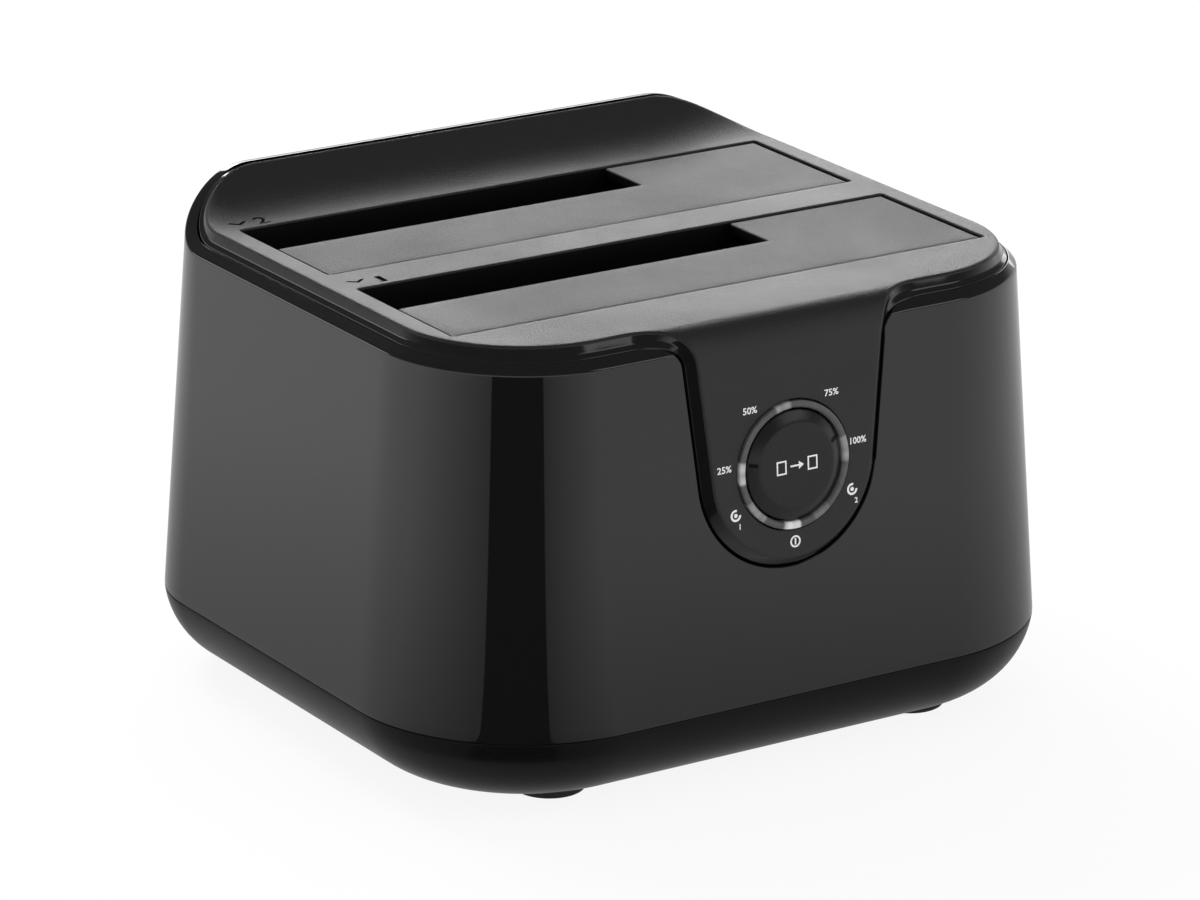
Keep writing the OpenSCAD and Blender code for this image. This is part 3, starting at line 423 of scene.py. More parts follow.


# The clear ring's segments over the lamps get a painted glow with painted highlights: a pale colour mixed in by the
# piece's own attribute
def makeFinish(name, values):
    made, tree = newMaterial(name)
    low, high = values["rough"]
    texture = addNode(tree, "Group", {"Scale": values["grain"], "Depth": values["depth"]}, node_tree=grain).outputs
    touch = addNode(tree, "Group", {"Scale": values["smear"], "Low": low, "High": high}, node_tree=handling).outputs
    tone = mixed(tree, "RGBA", texture["Speck"], (*values["dark"], 1.0), (*values["light"], 1.0))
    # Painted glow and highlights: a pale tone mixed into the base colour where the piece's attribute asks
    if "lit" in values:
        paintedGlow = addNode(tree, "Attribute", attribute_name="paintedLampGlow").outputs["Fac"]
        tone = mixed(tree, "RGBA", paintedGlow, tone, (*values["lit"], 1.0))
    setInputs(tree.nodes["Principled BSDF"], {
        "Metallic": values.get("metal", 0.0), "IOR": values.get("ior", 1.5), "Base Color": tone,
        "Roughness": touch["Value"], "Normal": texture["Normal"]})
    return made


material = {name: makeFinish(name, values) for name, values in finishes.items()}
print("finishes made:", len(material))

# Carried-over solids take the finish of their slot in the record
for row in frame["record"]["subparts"]:
    node = frame["nodes"][row["node"]]
    node.data.materials.clear()
    node.data.materials.append(material[row["material_slot"]])

# Photograph's camera
eye = dict(azimuth=-32.812, elevation=18.865, roll=0.334, right=1.93, up=36.02, distance=1005.956,
           lens=181.6865, sensor=36.0, clip=(0.01, 30.0), target=(0.0, -1.2, 78.3))


def makeCamera():
    az, el, roll = np.radians([eye["azimuth"], eye["elevation"], eye["roll"]])
    back = np.array([np.sin(az) * np.cos(el), -np.cos(az) * np.cos(el), np.sin(el)])
    right = unit(np.cross([0, 0, 1], back))
    up = np.cross(back, right)
    right, up = right * np.cos(roll) + up * np.sin(roll), up * np.cos(roll) - right * np.sin(roll)
    turn = np.stack([right, up, back], 1)
    spot = turn @ np.array([-eye["right"], -eye["up"], eye["distance"]]) + np.array(eye["target"])
    camera = bpy.data.cameras.new("photoCamera")
    camera.lens, camera.sensor_width, camera.sensor_fit = eye["lens"], eye["sensor"], "HORIZONTAL"
    camera.clip_start, camera.clip_end = eye["clip"]
    holder = bpy.data.objects.new("photoCamera", camera)
    matrix = np.eye(4)
    matrix[:3, :3], matrix[:3, 3] = turn, spot * mm
    holder.matrix_world = Matrix(matrix.tolist())
    bpy.context.collection.objects.link(holder)
    bpy.context.scene.camera = holder


makeCamera()
print("camera set")

# Glossy shell: wall, shoulder and land carried round the casing, with the rim rising at the rear
rim = dict(land=75.9, start=33.855, run=16.645, rise=8.45, drop=1.3, shoulder=1.8, rearDrop=0.25, readAt=6.0,
           softFoot=0.1, softSeam=0.3, softEdge=0.4, rearSoft=0.2, softLand=0.04, drawIn=0.6, squareFront=-1.2,
           wallRow=9, holdAt=(0.02, 0.98), sharp=30.0)


def rimLand(y):
    radius = (rim["run"] ** 2 + rim["rise"] ** 2) / (2 * rim["rise"])
    along = np.clip(y - rim["start"], 0, rim["run"])
    return rim["land"] + radius - np.sqrt(radius ** 2 - along ** 2)


# The cover is rounder than the casing at the rear corners and squarer at the front: draw-in * (cos + sin - 1)
def cornerDraw():
    drawIn = np.where(casingLoop[:, 2] == casing["rearRadius"], rim["drawIn"], rim["squareFront"])
    return drawIn * (np.abs(ray(casingLoop[:, 3])).sum(1) - 1)


# Share of the way up the rear sweep
def rearShare(y):
    return ease(np.clip((y - rim["start"]) / rim["run"], 0, 1))


# Tongue frame: across, up the leaning front, out of the face
tongueY = -rearY + leanAt(deckLine["keyHeight"]) - deckLine["proud"] / np.cos(tilt)
tongueAxes = np.array([[1, 0, 0], [0, np.sin(tilt), np.cos(tilt)], [0, -np.cos(tilt), np.sin(tilt)]])
tongueSpot = np.array([0, tongueY, deckLine["keyHeight"]])


def onTongue(points):
    return points @ tongueAxes + tongueSpot


def offTongue(points):
    return (points - tongueSpot) @ tongueAxes.T


# Unrolled height above the key to the deck line's point, rising direction and outward direction
fall, sweep, sweepStart = deckLine["fallRadius"], deckLine["sweepRadius"], deckLine["sweepStart"]
bendZ = casing["deck"] - fall
bendY = -rearY + leanAt(bendZ) + (fall - deckLine["proud"]) / np.cos(tilt)
bendLength = fall * (np.pi / 2 - tilt)
faceTop = (bendZ + fall * np.sin(tilt) - deckLine["keyHeight"]) / np.cos(tilt)
deckStart = faceTop + bendLength
sweepAt = deckStart + sweepStart - bendY


def deckPoint(u):
    turn = np.clip((deckStart - u) / fall, 0, np.pi / 2 - tilt)
    below = np.clip(faceTop - u, 0, None)
    climb = np.clip(u - sweepAt, 0, None) / sweep
    flat = np.clip(u, deckStart, sweepAt) - deckStart
    y = bendY - fall * np.sin(turn) - below * np.sin(tilt) + flat + sweep * np.sin(climb)
    z = bendZ + fall * np.cos(turn) - below * np.cos(tilt) + sweep * (1 - np.cos(climb))
    rise = ray(turn + climb)
    return np.stack([y, z], -1), rise, np.stack([-rise[..., 1], rise[..., 0]], -1)


# Plan depth on the deck to the unrolled height
def deckHeight(y):
    climb = np.arcsin(np.clip((y - sweepStart) / sweep, 0, 0.99))
    return deckStart + (np.minimum(y, sweepStart) - bendY) + sweep * climb


def surfacePoint(x, u, sink=0.0):
    place, _, out = deckPoint(u)
    return np.c_[x, place - sink * out]


# Cover: tongue with a round end and leaning sides, shoulders, deck, two bays and the key's bore
cover = dict(tongueRadius=15.3, flare=6.5, blend=10.6, thick=2.2, inset=1.2, endSteps=40, blendSteps=36, sideSteps=14,
             boreRadius=10.85, boreLip=0.7, boreDepth=3.0, boreSoft=(0, 0.15, 0.1, 0), boreSteps=96,
             bayWidth=103.5, bayDepth=29.6, bayYs=(-20.45, 18.05), bayCorner=0.5, bayBottom=72.1, bayLip=0.9,
             bayFoot=1.6, baySoft=(0, 0.35, 0.1, 0.1, 0), clearEdge=0.5, clearHoles=1.02)


# Outline of the top face: across, unrolled height, outward direction, share of the deck's edge
def coverOutline():
    flare = np.radians(cover["flare"])
    r, blend = cover["tongueRadius"], cover["blend"]
    midU = deckHeight(np.array(casing["deckEdge"] - rearY)) - blend
    midX = (r + blend + midU * np.sin(flare)) / np.cos(flare)
    turn = np.linspace(-np.pi / 2, -flare, cover["endSteps"])
    end = np.c_[r * ray(turn), ray(turn), turn * 0]
    sway = np.linspace(flare, np.pi / 2, cover["blendSteps"])
    share = (sway - flare) / (np.pi / 2 - flare)
    shoulder = np.c_[np.array([midX, midU]) - blend * ray(-sway), ray(-sway), ease(share)]
    t = np.linspace(0, 1, cover["sideSteps"])[1:-1, None]
    side = end[-1] * (1 - t) + shoulder[0] * t
    ring, turn = loopPoint(casing["deckEdge"] + cornerDraw(), 0.0), casingLoop[:, 3]
    half = (np.abs(turn) <= np.pi / 2 + 1e-9) & (ring[:, 0] > 1e-6)
    deck = np.c_[ring[half, 0], deckHeight(ring[half, 1]), ray(turn[half]), np.ones(half.sum())]
    right = np.concatenate([end, side, shoulder, deck])
    left = right[::-1] * np.array([-1, 1, -1, 1, 1])
    return np.concatenate([right, left[left[:, 0] < -1e-6]])


outline = coverOutline()
onDeck = outline[:, 4] >= 1.0


# Frame at each outline station: place, outward along the surface, out of the surface
def outlineFrame():
    place, rise, out = deckPoint(outline[:, 1])
    along = np.c_[outline[:, 2], outline[:, 3:4] * rise]
    along[onDeck] = atHeight(outline[onDeck, 2:4], 0.0)
    normal = np.c_[np.zeros(len(outline)), out]
    normal[onDeck] = (0, 0, 1)
    return np.c_[outline[:, 0], place], along, normal


# Surface point at an inset from the outline, sunk below the surface if asked, and the same unrolled
def insetPoint(inset, sink=0.0):
    x = outline[:, 0] - inset * outline[:, 2]
    back = inset * outline[:, 3]
    u = np.where(onDeck, deckHeight(deckPoint(outline[:, 1])[0][:, 0] - back), outline[:, 1] - back)
    return surfacePoint(x, u, sink), np.stack([x, u], -1)


# Edge of the cover: tongue bevel turning into the deck's steep bevel with a foot, fading at the rear
coverEdge = dict(tongue=((0.0, 0.0), (0.8, 0.8), (1.6, 1.6), (1.6, 4.6)),
                 deck=((0.1, 0.0), (0.8, 1.75), (1.6, 2.3), (1.6, 6.0)),
                 rear=((0.05, 0.0), (0.5, 0.12), (1.15, 0.3), (1.15, 6.0)),
                 soft=(0.35, 0.2, 0.15), softDeck=(0.5, 0.25, 0.15), reach=1.6, footIn=1.4)


def edgeRows(grow=0.0):
    spot, along, normal = outlineFrame()
    share = outline[:, 4:5]
    rear = rearShare(spot[:, 1:2] + coverEdge["reach"])
    rows = []
    for t, d, r in zip(*(np.array(coverEdge[part]) for part in ("tongue", "deck", "rear"))):
        step = t * (1 - share) + (d * (1 - rear) + r * rear) * share
        rows.append(spot + along * (step[:, :1] + grow) - normal * step[:, 1:])
    return np.array(rows)


# Loose points of the top face by zone: from, to, step up, step across
def coverPoints(end):
    zones = ((-12, faceTop - 0.5, 4.0, 4.0), (faceTop, deckStart, bendLength / 14, 1.5),
             (deckStart + 1, sweepAt - 1, 6.0, 6.0), (sweepAt, end, 0.9, 2.0))
    return np.concatenate([gridPoints(np.arange(-60, 60.1, dx), np.arange(low, high + 1e-6, du))
                           for low, high, du, dx in zones])


def makeCover():
    deckZ, thick, lip, share = casing["deck"], cover["thick"], cover["bayLip"], outline[:, 4]
    top, topFlat = insetPoint(cover["inset"])
    under, _ = insetPoint(cover["inset"], thick)
    rows = edgeRows()
    soft = [a * (1 - share) + b * share for a, b in zip(coverEdge["soft"], coverEdge["softDeck"])]
    foot = rows[-1] - outlineFrame()[1] * coverEdge["footIn"]
    bands = [band(np.array([top, *rows, foot, under]), [0, *soft, 0, 0, 0], (0, 1))]
    holes = []
    profile = ((lip, deckZ), (0.0, deckZ), (0.0, cover["bayBottom"]), (cover["bayFoot"], cover["bayBottom"]),
               (lip, deckZ - thick))
    for bayY in cover["bayYs"]:
        line, out = roundOutline(boxLine(0, bayY, cover["bayWidth"], cover["bayDepth"]), cover["bayCorner"])
        walls = np.array([atHeight(line + out * grow, z) for grow, z in profile])
        bands.append(band(walls, cover["baySoft"], (0, 2)))
        mouth = line + out * lip
        holes.append(np.stack([mouth[:, 0], deckHeight(mouth[:, 1])], -1))
    ring, bore = ringOf(cover["boreSteps"]), cover["boreRadius"]
    wide = bore + cover["boreLip"]
    profile = ((wide, 0.0), (bore, 0.0), (bore, -cover["boreDepth"]), (wide, -thick))
    walls = np.array([onTongue(atHeight(ring * r, h)) for r, h in profile])
    bands.append(band(walls, cover["boreSoft"], (0, 2)))
    holes.append(ring * wide)
    inner = insetPoint(cover["inset"] + cover["clearEdge"])[1]
    loose = clearPoints(coverPoints(topFlat[:, 1].max()), inner, holes, cover["clearHoles"])
    spots, cells = flatPatch(topFlat, holes, loose)
    parts, kinds = (list(each) for each in zip(*bands))
    parts += [(surfacePoint(*spots.T), cells), (surfacePoint(*spots.T, thick), [c[::-1] for c in cells])]
    kinds += [np.zeros(len(cells)), np.full(len(cells), 2)]
    looks = [material[look] for look in ("cover_matte", "cover_band", "inner_black")]
    return makePiece("top_cover_skin", parts, looks, index=np.concatenate(kinds))


def makeShell():
    y = loopPoint(rim["readAt"], 0.0)[:, 1]
    land, rear, draw, wall = rimLand(y), rearShare(y), cornerDraw(), casing["wall"]
    edge = land - rim["drop"] * (1 - rear) - rim["rearDrop"] * rear
    seam = np.full(len(y), casing["seam"])
    profile = np.array([np.stack(np.broadcast_arrays(off, z), -1) for off, z in (
        (wall, seam), (0.0, seam), (leanAt(edge), edge), (leanAt(edge) + rim["shoulder"] + draw, land),
        (leanAt(land) + wall + draw, land))])
    soft = (rim["softFoot"], rim["softSeam"], rim["softEdge"] + rim["rearSoft"] * rear, rim["softLand"],
            rim["softLand"])
    rows = softProfile(profile, soft, closed=True)
    low, high = rows[rim["wallRow"]], rows[rim["wallRow"] + 1]
    held = [low + (high - low) * share for share in rim["holdAt"]]
    rows = np.concatenate([rows[:rim["wallRow"] + 1], held, rows[rim["wallRow"] + 1:]])
    rings = np.array([loopPoint(*row.T) for row in rows])
    faces = gridFaces(len(rows), len(y), True, True)
    shell = makePiece("outer_shell_skin", [(rings, faces)], material["shell_gloss"])
    for cutter in (notchCutter(), *portCutters()):
        cutAway(shell, cutter)
    smooth(shell.data, rim["sharp"])
    return shell


# Cutter from an outline and outward directions: depth and growth of each ring, placed by a function
def makeCutter(name, line, out, steps, place):
    rings = np.array([place(line + out * grow, depth) for depth, grow in steps])
    return makePiece(name, [(rings, cappedFaces(len(rings), len(line)))], material["shell_gloss"])


# Hole for the tongue: the foot of its edge, grown by the gap and drawn straight out of the face
notch = dict(gap=0.4, soft=0.15, below=77.0, top=40.0, deep=9.0, past=1.0)


def notchCutter():
    rows = edgeRows(notch["gap"])[2]
    order = np.flatnonzero((outline[:, 4] < 1.0) & (rows[:, 2] < notch["below"]))
    breaks = np.flatnonzero(np.diff(order) > 1)
    if len(breaks):
        order = np.roll(order, -breaks[0] - 1)
    line = offTongue(rows)[order, :2]
    line = np.r_[line, [[line[-1, 0], notch["top"]], [line[0, 0], notch["top"]]]]
    ahead = np.roll(line, -1, 0) - np.roll(line, 1, 0)
    out = unit(np.stack([ahead[:, 1], -ahead[:, 0]], -1))

    def onFace(points, depth):
        return onTongue(atHeight(points, depth))
    skin, soft, past = -deckLine["proud"], notch["soft"], notch["past"]
    steps = ((-notch["deep"], 0.0), (skin - soft, 0.0), (skin + past, soft + past))
    return makeCutter("notchCutter", line, out, steps, onFace)


# Port openings in the rear wall: middle, low edge, width and height of the first, middle and radius of the others
ports = dict(usb=(13.0, 14.25, 12.7, 13.5), round=((-9.0, 21.1, 4.35), (-31.0, 20.6, 4.35)), corner=0.5, steps=64,
             soft=0.3, deep=12.0, past=1.0)


def portCutters():
    x, low, wide, tall = ports["usb"]
    ring, soft, past = ringOf(ports["steps"]), ports["soft"], ports["past"]
    lines = [roundOutline(boxLine(x, low + tall / 2, wide, tall), ports["corner"])]
    lines += [(ring * r + np.array([cx, cz]), ring) for cx, cz, r in ports["round"]]

    def onRear(points, depth):
        return np.c_[points[:, 0], rearY - leanAt(points[:, 1]) + depth, points[:, 1]]
    steps = ((-ports["deep"], 0.0), (-soft, 0.0), (past, soft + past))
    return [makeCutter("portCutter", line, out, steps, onRear) for line, out in lines]


# Base pan: a round edge carried round the casing, a floor with screw holes, and a wall's thickness inside
pan = dict(radius=14.7, bottom=1.1, wall=2.2, lip=((0.45, 0.0), (0.3, 0.02), (0.14, 0.1), (0.06, 0.22)), lipEnd=0.35,
           outerSteps=26, innerSteps=14, screwX=41.0, screwYs=(-27.75, 10.75), screwHole=2.8, holeTop=3.2, holeLip=0.4,
           holeSoft=(0, 0.2, 0), holeSteps=40, clearEdge=0.97, clearHoles=1.4)


def makePan():
    r, seam, bottom, steps = pan["radius"], casing["seam"], pan["bottom"], pan["holeSteps"]
    q, midZ, count = r - pan["wall"], bottom + r, len(casingLoop)
    midOff = np.sqrt(r * r - (midZ - seam) ** 2)
    outer = np.linspace(np.arcsin((seam - pan["lipEnd"] - midZ) / r), -np.pi / 2, pan["outerSteps"])
    inner = np.linspace(-np.pi / 2, np.arcsin((seam - midZ) / q), pan["innerSteps"])
    profile = [(pan["wall"], seam)] + [(off, seam - drop) for off, drop in pan["lip"]]
    profile += [(midOff - r * np.cos(a), midZ + r * np.sin(a)) for a in outer]
    rings = np.array([loopPoint(off, z) for off, z in profile])
    inside = np.array([loopPoint(midOff - q * np.cos(a), midZ + q * np.sin(a)) for a in inner])
    inside[-1] = rings[0]
    parts = [(rings, gridFaces(len(rings), count)), (inside, gridFaces(len(inside), count) + [list(range(count))])]
    hole, ring = pan["screwHole"], ringOf(steps)
    wide = hole + pan["holeLip"]
    screws = [np.array([x * pan["screwX"], y]) for x in (-1, 1) for y in pan["screwYs"]]
    holes = [ring * wide + spot for spot in screws]
    edge = rings[-1][:, :2]
    grid = gridPoints(np.arange(-45, 46, 9.0), np.arange(-38, 39, 9.5))
    spots, cells = flatPatch(edge, holes, clearPoints(grid, edge * pan["clearEdge"], holes, pan["clearHoles"]))
    parts.append((atHeight(spots, bottom), cells))
    profile = ((wide, bottom), (hole, bottom), (hole, pan["holeTop"]))
    for spot in screws:
        rows = softProfile(np.array([atHeight(ring * size + spot, z) for size, z in profile]), pan["holeSoft"])
        last = (len(rows) - 1) * steps
        parts.append((rows, gridFaces(len(rows), steps) + [list(range(last, last + steps))]))
    return makePiece("base_pan_skin", parts, material["pan_satin"])


feet = dict(x=35.7, y=38.7, radius=6.0, height=1.7, tread=1.4, bevel=1.9, hollow=0.25,
            soft=(0, 0.15, 0.45, 0.15, 0.15, 0), steps=48)


def makeFeet():
    r, h, hollow = feet["radius"], feet["height"], feet["hollow"]
    profile = [(0, h), (r, h), (r, 0.0), (r - feet["tread"], 0.0), (r - feet["bevel"], hollow), (0, hollow)]
    points, faces = turned(profile, feet["soft"], feet["steps"])
    parts = [(points + np.array([x * feet["x"], y * feet["y"], 0.0]), faces) for x in (-1, 1) for y in (-1, 1)]
    return makePiece("rubber_feet", parts, material["rubber"])


# Clone key: stem, flange, cone bevel and a face that is hollowed by a hair
key = dict(radius=9.1, face=7.15, rise=1.05, low=0.1, flange=9.55, back=4.8, flangeTop=3.8, stem=2.2, stemEnd=5.0,
           border=1.2, hollow=0.06, soft=(0, 0.1, 0.08, 0.1, 0.1, 0.1, 0.2, 0.45, 0.3, 0), steps=128)


def makeKey():
    r, face, rise, stem, flange = (key[size] for size in ("radius", "face", "rise", "stem", "flange"))
    end, back, neck = -key["stemEnd"], -key["back"], -key["flangeTop"]
    profile = [(0, end), (stem, end), (stem, back), (flange, back), (flange, neck), (r, neck), (r, key["low"]),
               (face, rise), (face - key["border"], rise), (0, rise - key["hollow"])]
    return makePiece("clone_key_cap", [turned(profile, key["soft"], key["steps"])], material["key_satin"], onTongue)


# Light ring: flange, tube with rounded lip, and the legs that lead the lamps' light; the glow table gives angle, half
# width and level of the ring's painted glow and highlights
ringPart = dict(outer=10.6, inner=9.4, rise=0.5, back=3.5, flange=11.6, flangeTop=2.6, lipOut=(0.45, 0.1),
                lipIn=(0.3, 0.3), soft=(0.1, 0.1, 0.1, 0.1, 0.15, 0.2, 0.15, 0.1), steps=288, lamps=7, legs=10.7,
                legEnd=8.9, legRadius=0.8, legIn=0.2, legSoft=(0, 0.12, 0.1, 0), legSteps=20,
                paintedGlow=((179.0, 10.0, 0.6), (101.0, 8.0, 0.3), (6.0, 12.0, 0.3), (-94.0, 9.0, 1.0), (-94.0, 3.0, 0.8),
                      (-139.0, 12.0, 0.28), (-60.0, 9.0, 0.12)), fade=2.4, ripple=0.2, waves=(30, 7))


def makeRing():
    inner, outer, flange, rise, r = (ringPart[size] for size in ("inner", "outer", "flange", "rise", "legRadius"))
    back, neck, end = -ringPart["back"], -ringPart["flangeTop"], -ringPart["legEnd"]
    (outX, outZ), (inX, inZ), legTop = ringPart["lipOut"], ringPart["lipIn"], back + ringPart["legIn"]
    profile = [(inner, back), (flange, back), (flange, neck), (outer, neck), (outer, rise - outZ), (outer - outX, rise),
               (inner + inX, rise), (inner, rise - inZ)]
    parts = [turned(profile, ringPart["soft"], ringPart["steps"], closed=True)]
    leg, faces = turned([(0, end), (r, end), (r, legTop), (0, legTop)], ringPart["legSoft"], ringPart["legSteps"])
    for turn in np.radians(-90 + np.arange(ringPart["lamps"]) * 360 / ringPart["lamps"]):
        parts.append((leg + np.r_[ringPart["legs"] * ray(turn), 0.0], faces))
    piece = makePiece("light_ring_lens", parts, material["ring_clear"], onTongue)
    flat = offTongue(vertexSpots(piece.data) / mm)
    angle = np.degrees(np.arctan2(flat[:, 1], flat[:, 0]))
    # Painted lamp glow with painted streaky highlights: brighter segments by angle, rippled along the ring
    paintedGlow = np.zeros(len(flat))
    for middle, half, level in ringPart["paintedGlow"]:
        away = np.abs((angle - middle + 180) % 360 - 180)
        paintedGlow = np.maximum(paintedGlow, level * np.clip((half - away) / ringPart["fade"] + 0.5, 0, 1))
    waves = np.cos(np.radians(angle[:, None] * np.array(ringPart["waves"]))).prod(1)
    setAttribute(piece.data, "paintedLampGlow", paintedGlow * (1 - ringPart["ripple"] + ringPart["ripple"] * waves))
    return piece


# Flap: L-shaped plate whose front edge is the hinge barrel, with its stop ear
flapPart = dict(half=51.2, barrel=1.5, hingeIn=1.75, top=78.0, thick=1.8, gap=0.4, slotWidth=71.6, slotDepth=11.6,
                hinge=76.5, step=0.1, radii=(0.05, 0.05, 0, 0, 0.3, 0.3, 0.3, 0.3, 0, 0), innerRadius=0.04, inset=2.2,
                deeper=2.3, softBarrel=1.45, softTop=0.25, softUnder=0.15, softIn=0.02, clearSlot=4.0,
                earTop=76.05, earThick=1.22, earY=4.0, earLength=5.0, earOut=1.6, earIn=6.0, earRadius=0.3,
                earSoft=(0, 0.1, 0.1, 0))


def hingeY(bayY):
    return bayY - cover["bayDepth"] / 2 + flapPart["hingeIn"]


def makeFlap(name, bayY):
    h, top, rod, step = (flapPart[size] for size in ("half", "top", "barrel", "step"))
    under, axisY = top - flapPart["thick"], hingeY(bayY)
    front, behind, back = axisY - rod, axisY + rod, bayY + cover["bayDepth"] / 2 - flapPart["gap"]
    slotX, slotY = -h + flapPart["slotWidth"], back - flapPart["slotDepth"]
    corners = [(-h, front), (h, front), (h, behind), (h, behind + step), (h, back), (slotX, back),
               (slotX, slotY), (-h, slotY), (-h, behind + step), (-h, behind)]
    line, out = roundOutline(corners, flapPart["radii"])
    low = np.where(line[:, 1] < behind + step / 2, top - 2 * rod, under)
    softTop, softUnder = (np.where(out[:, 1] < -0.9, flapPart["softBarrel"], flapPart[size])
                          for size in ("softTop", "softUnder"))

    def insetLine(inset):
        moved = insetCorners(corners, inset)
        for rows, more in (([0, 1], 0), ([2, 9], step), ([3, 8], 2 * step)):
            moved[rows, 1] = front + 2 * rod + inset / 10 + more
        return roundOutline(moved, flapPart["innerRadius"])[0]
    inner, deeper = insetLine(flapPart["inset"]), insetLine(flapPart["deeper"])
    profile = np.array([atHeight(points, z) for points, z in (
        (inner, top), (line, top), (line, low), (inner, low), (deeper, under))])
    # Past the top rounding, the flap's sides, lower rounding and underside take the inner black finish: painted shade
    # on the flap's own plastic
    parts, kinds = ([each] for each in band(profile, [0, softTop, softUnder, flapPart["softIn"], 0], (0, 1)))
    grid, clear = gridPoints(np.arange(-48, 49, 6.0), np.arange(front + 6, back - 3, 5.0)), flapPart["clearSlot"]
    grid = grid[(grid[:, 0] >= slotX + clear) | (grid[:, 1] <= slotY - clear)]
    for ring, z, kind in ((inner, top, 0), (deeper, under, 1)):
        spots, cells = flatPatch(ring, loose=clearPoints(grid, ring))
        parts.append((atHeight(spots, z), [c[::-1] if kind else c for c in cells]))
        kinds.append(np.full(len(cells), kind))
    y, earTop, earLow = axisY + flapPart["earY"], flapPart["earTop"], flapPart["earTop"] - flapPart["earThick"]
    near, far, end = h - flapPart["earIn"], h + flapPart["earOut"], y + flapPart["earLength"]
    ear, out = roundOutline([(near, y), (far, y), (far, end), (near, end)], flapPart["earRadius"])
    core = ear - out * flapPart["earRadius"]
    rows = softProfile(np.array([atHeight(points, z) for points, z in (
        (core, earTop + step), (ear, earTop), (ear, earLow), (core, earLow))]), flapPart["earSoft"])
    parts.append((rows, cappedFaces(len(rows), len(ear))))
    # The ear takes the inner black finish too: painted shade
    kinds.append(np.ones(len(parts[-1][1])))
    looks = [material["flap_matte"], material["inner_black"]]
    return makePiece(name, parts, looks, index=np.concatenate(kinds))


# Torsion spring round each hinge pin: the coil and its long leg turn with the flap, the short leg stays on the dock
spring = dict(start=35.2, length=7.0, radius=0.98, wire=0.09, turns=20, perTurn=16, shortLeg=5.0, longLeg=9.0,
              legIn=1.0)


# Round wire along a path, from a direction across it at each point
def tube(path, across, radius, sides=6):
    other = np.cross(unit(np.gradient(path, axis=0)), across)
    cos, sin = ringOf(sides).T[:, None, :, None]
    rings = path[:, None] + radius * (cos * across[:, None] + sin * other[:, None])
    return rings, cappedFaces(len(path), sides)


def makeSpring(name, body, bayY):
    r, wire = spring["radius"], spring["wire"]
    axis = np.array([spring["start"], hingeY(bayY), flapPart["hinge"]])
    t = np.linspace(0, 1, spring["turns"] * spring["perTurn"] + 1)
    a = 2 * np.pi * spring["turns"] * t
    out = np.c_[0 * a, ray(a)]
    coil = tube(axis + out * r + np.outer(t * spring["length"], (1, 0, 0)), out, wire)
    side = np.repeat([[1.0, 0.0, 0.0]], 2, 0)
    reach = axis + (spring["length"] - spring["legIn"], 0, -r)
    longLeg = tube(np.array([reach, reach + (0, spring["longLeg"], 0)]), side, wire)
    drop = axis + (spring["legIn"], -r, 0)
    shortLeg = tube(np.array([drop, drop - (0, 0, spring["shortLeg"])]), side, wire)
    settle(makePiece(name + "_coil", [coil, longLeg], material["steel"]), body, "steel", name)
    settle(makePiece(name + "_leg", [shortLeg], material["steel"]), "dock", "steel")


# Marks, all generic: a number scale, a power sign, disc signs, a copy sign and bay numbers
marks = dict(lift=0.03, sink=0.05, tall=1.14,
             scale=(("25%", -13.3, 1.4, 2.7), ("50%", -8.1, 10.33, 2.7), ("75%", 7.7, 10.73, 2.7),
                    ("100%", 12.7, 1.9, 3.1)),
             discs=(("1", -11.35, -6.52), ("2", 11.3, -6.12)), discRadius=1.0, discWidth=0.36, discFrom=75, dot=0.34,
             dotHole=0.02, discTall=0.95, discRight=0.75, discBelow=1.95, power=(0.0, -12.83), powerWidth=0.28,
             powerBar=1.1, copy=(0.0, 0.1), copySink=0.12, copyApart=3.0, copyPlate=(1.9, 2.3), copyHole=(1.4, 1.8),
             arrow=((-1.3, -0.14), (0.35, -0.14), (0.35, -0.65), (1.3, 0.0), (0.35, 0.65), (0.35, 0.14), (-1.3, 0.14)),
             bays=(("1", 1.1, -49.7, -2.2, -45.6, -3.0), ("2", 2.3, -50.2, 35.7, -46.0, 35.5)), bayTall=3.0, cut=0.5,
             chevron=((-1.7, 0.75), (-1.05, 0.75), (0, 0.0), (1.05, 0.75), (1.7, 0.75), (1.7, 0.55), (0, -0.8),
                      (-1.7, 0.55)))


# Flat triangles of a word, scaled to a height and, if asked, a width
def wordShape(words, tall, wide=None):
    curve = bpy.data.curves.new("words", "FONT")
    curve.body, curve.resolution_u, curve.offset = words, 3, 0.014
    holder = bpy.data.objects.new("words", curve)
    bpy.context.collection.objects.link(holder)
    mesh = bpy.data.meshes.new_from_object(holder.evaluated_get(bpy.context.evaluated_depsgraph_get()))
    mesh.calc_loop_triangles()
    flat = vertexSpots(mesh)[:, :2]
    tris = np.empty(len(mesh.loop_triangles) * 3, dtype=np.int32)
    mesh.loop_triangles.foreach_get("vertices", tris)
    for holding, block in ((bpy.data.objects, holder), (bpy.data.curves, curve), (bpy.data.meshes, mesh)):
        holding.remove(block)
    low, high = flat.min(0), flat.max(0)
    scale = tall / (high - low)[1]
    across = wide / (high - low)[0] if wide else scale
    return (flat - (low + high) / 2) * np.array([across, scale]), tris.reshape(-1, 3)


# Part of a ring between two angles, as two rows of points
def arcShape(inner, outer, start=0, end=360, steps=40):
    rays = ray(np.radians(np.linspace(start, end, steps)))
    quads = np.array(gridFaces(2, steps, False))
    return np.r_[rays * inner, rays * outer], np.r_[quads[:, [0, 1, 2]], quads[:, [0, 2, 3]]]


def plateShape(outer, *holes):
    spots, cells = flatPatch(np.array(outer, float), holes)
    return spots, np.array(cells)


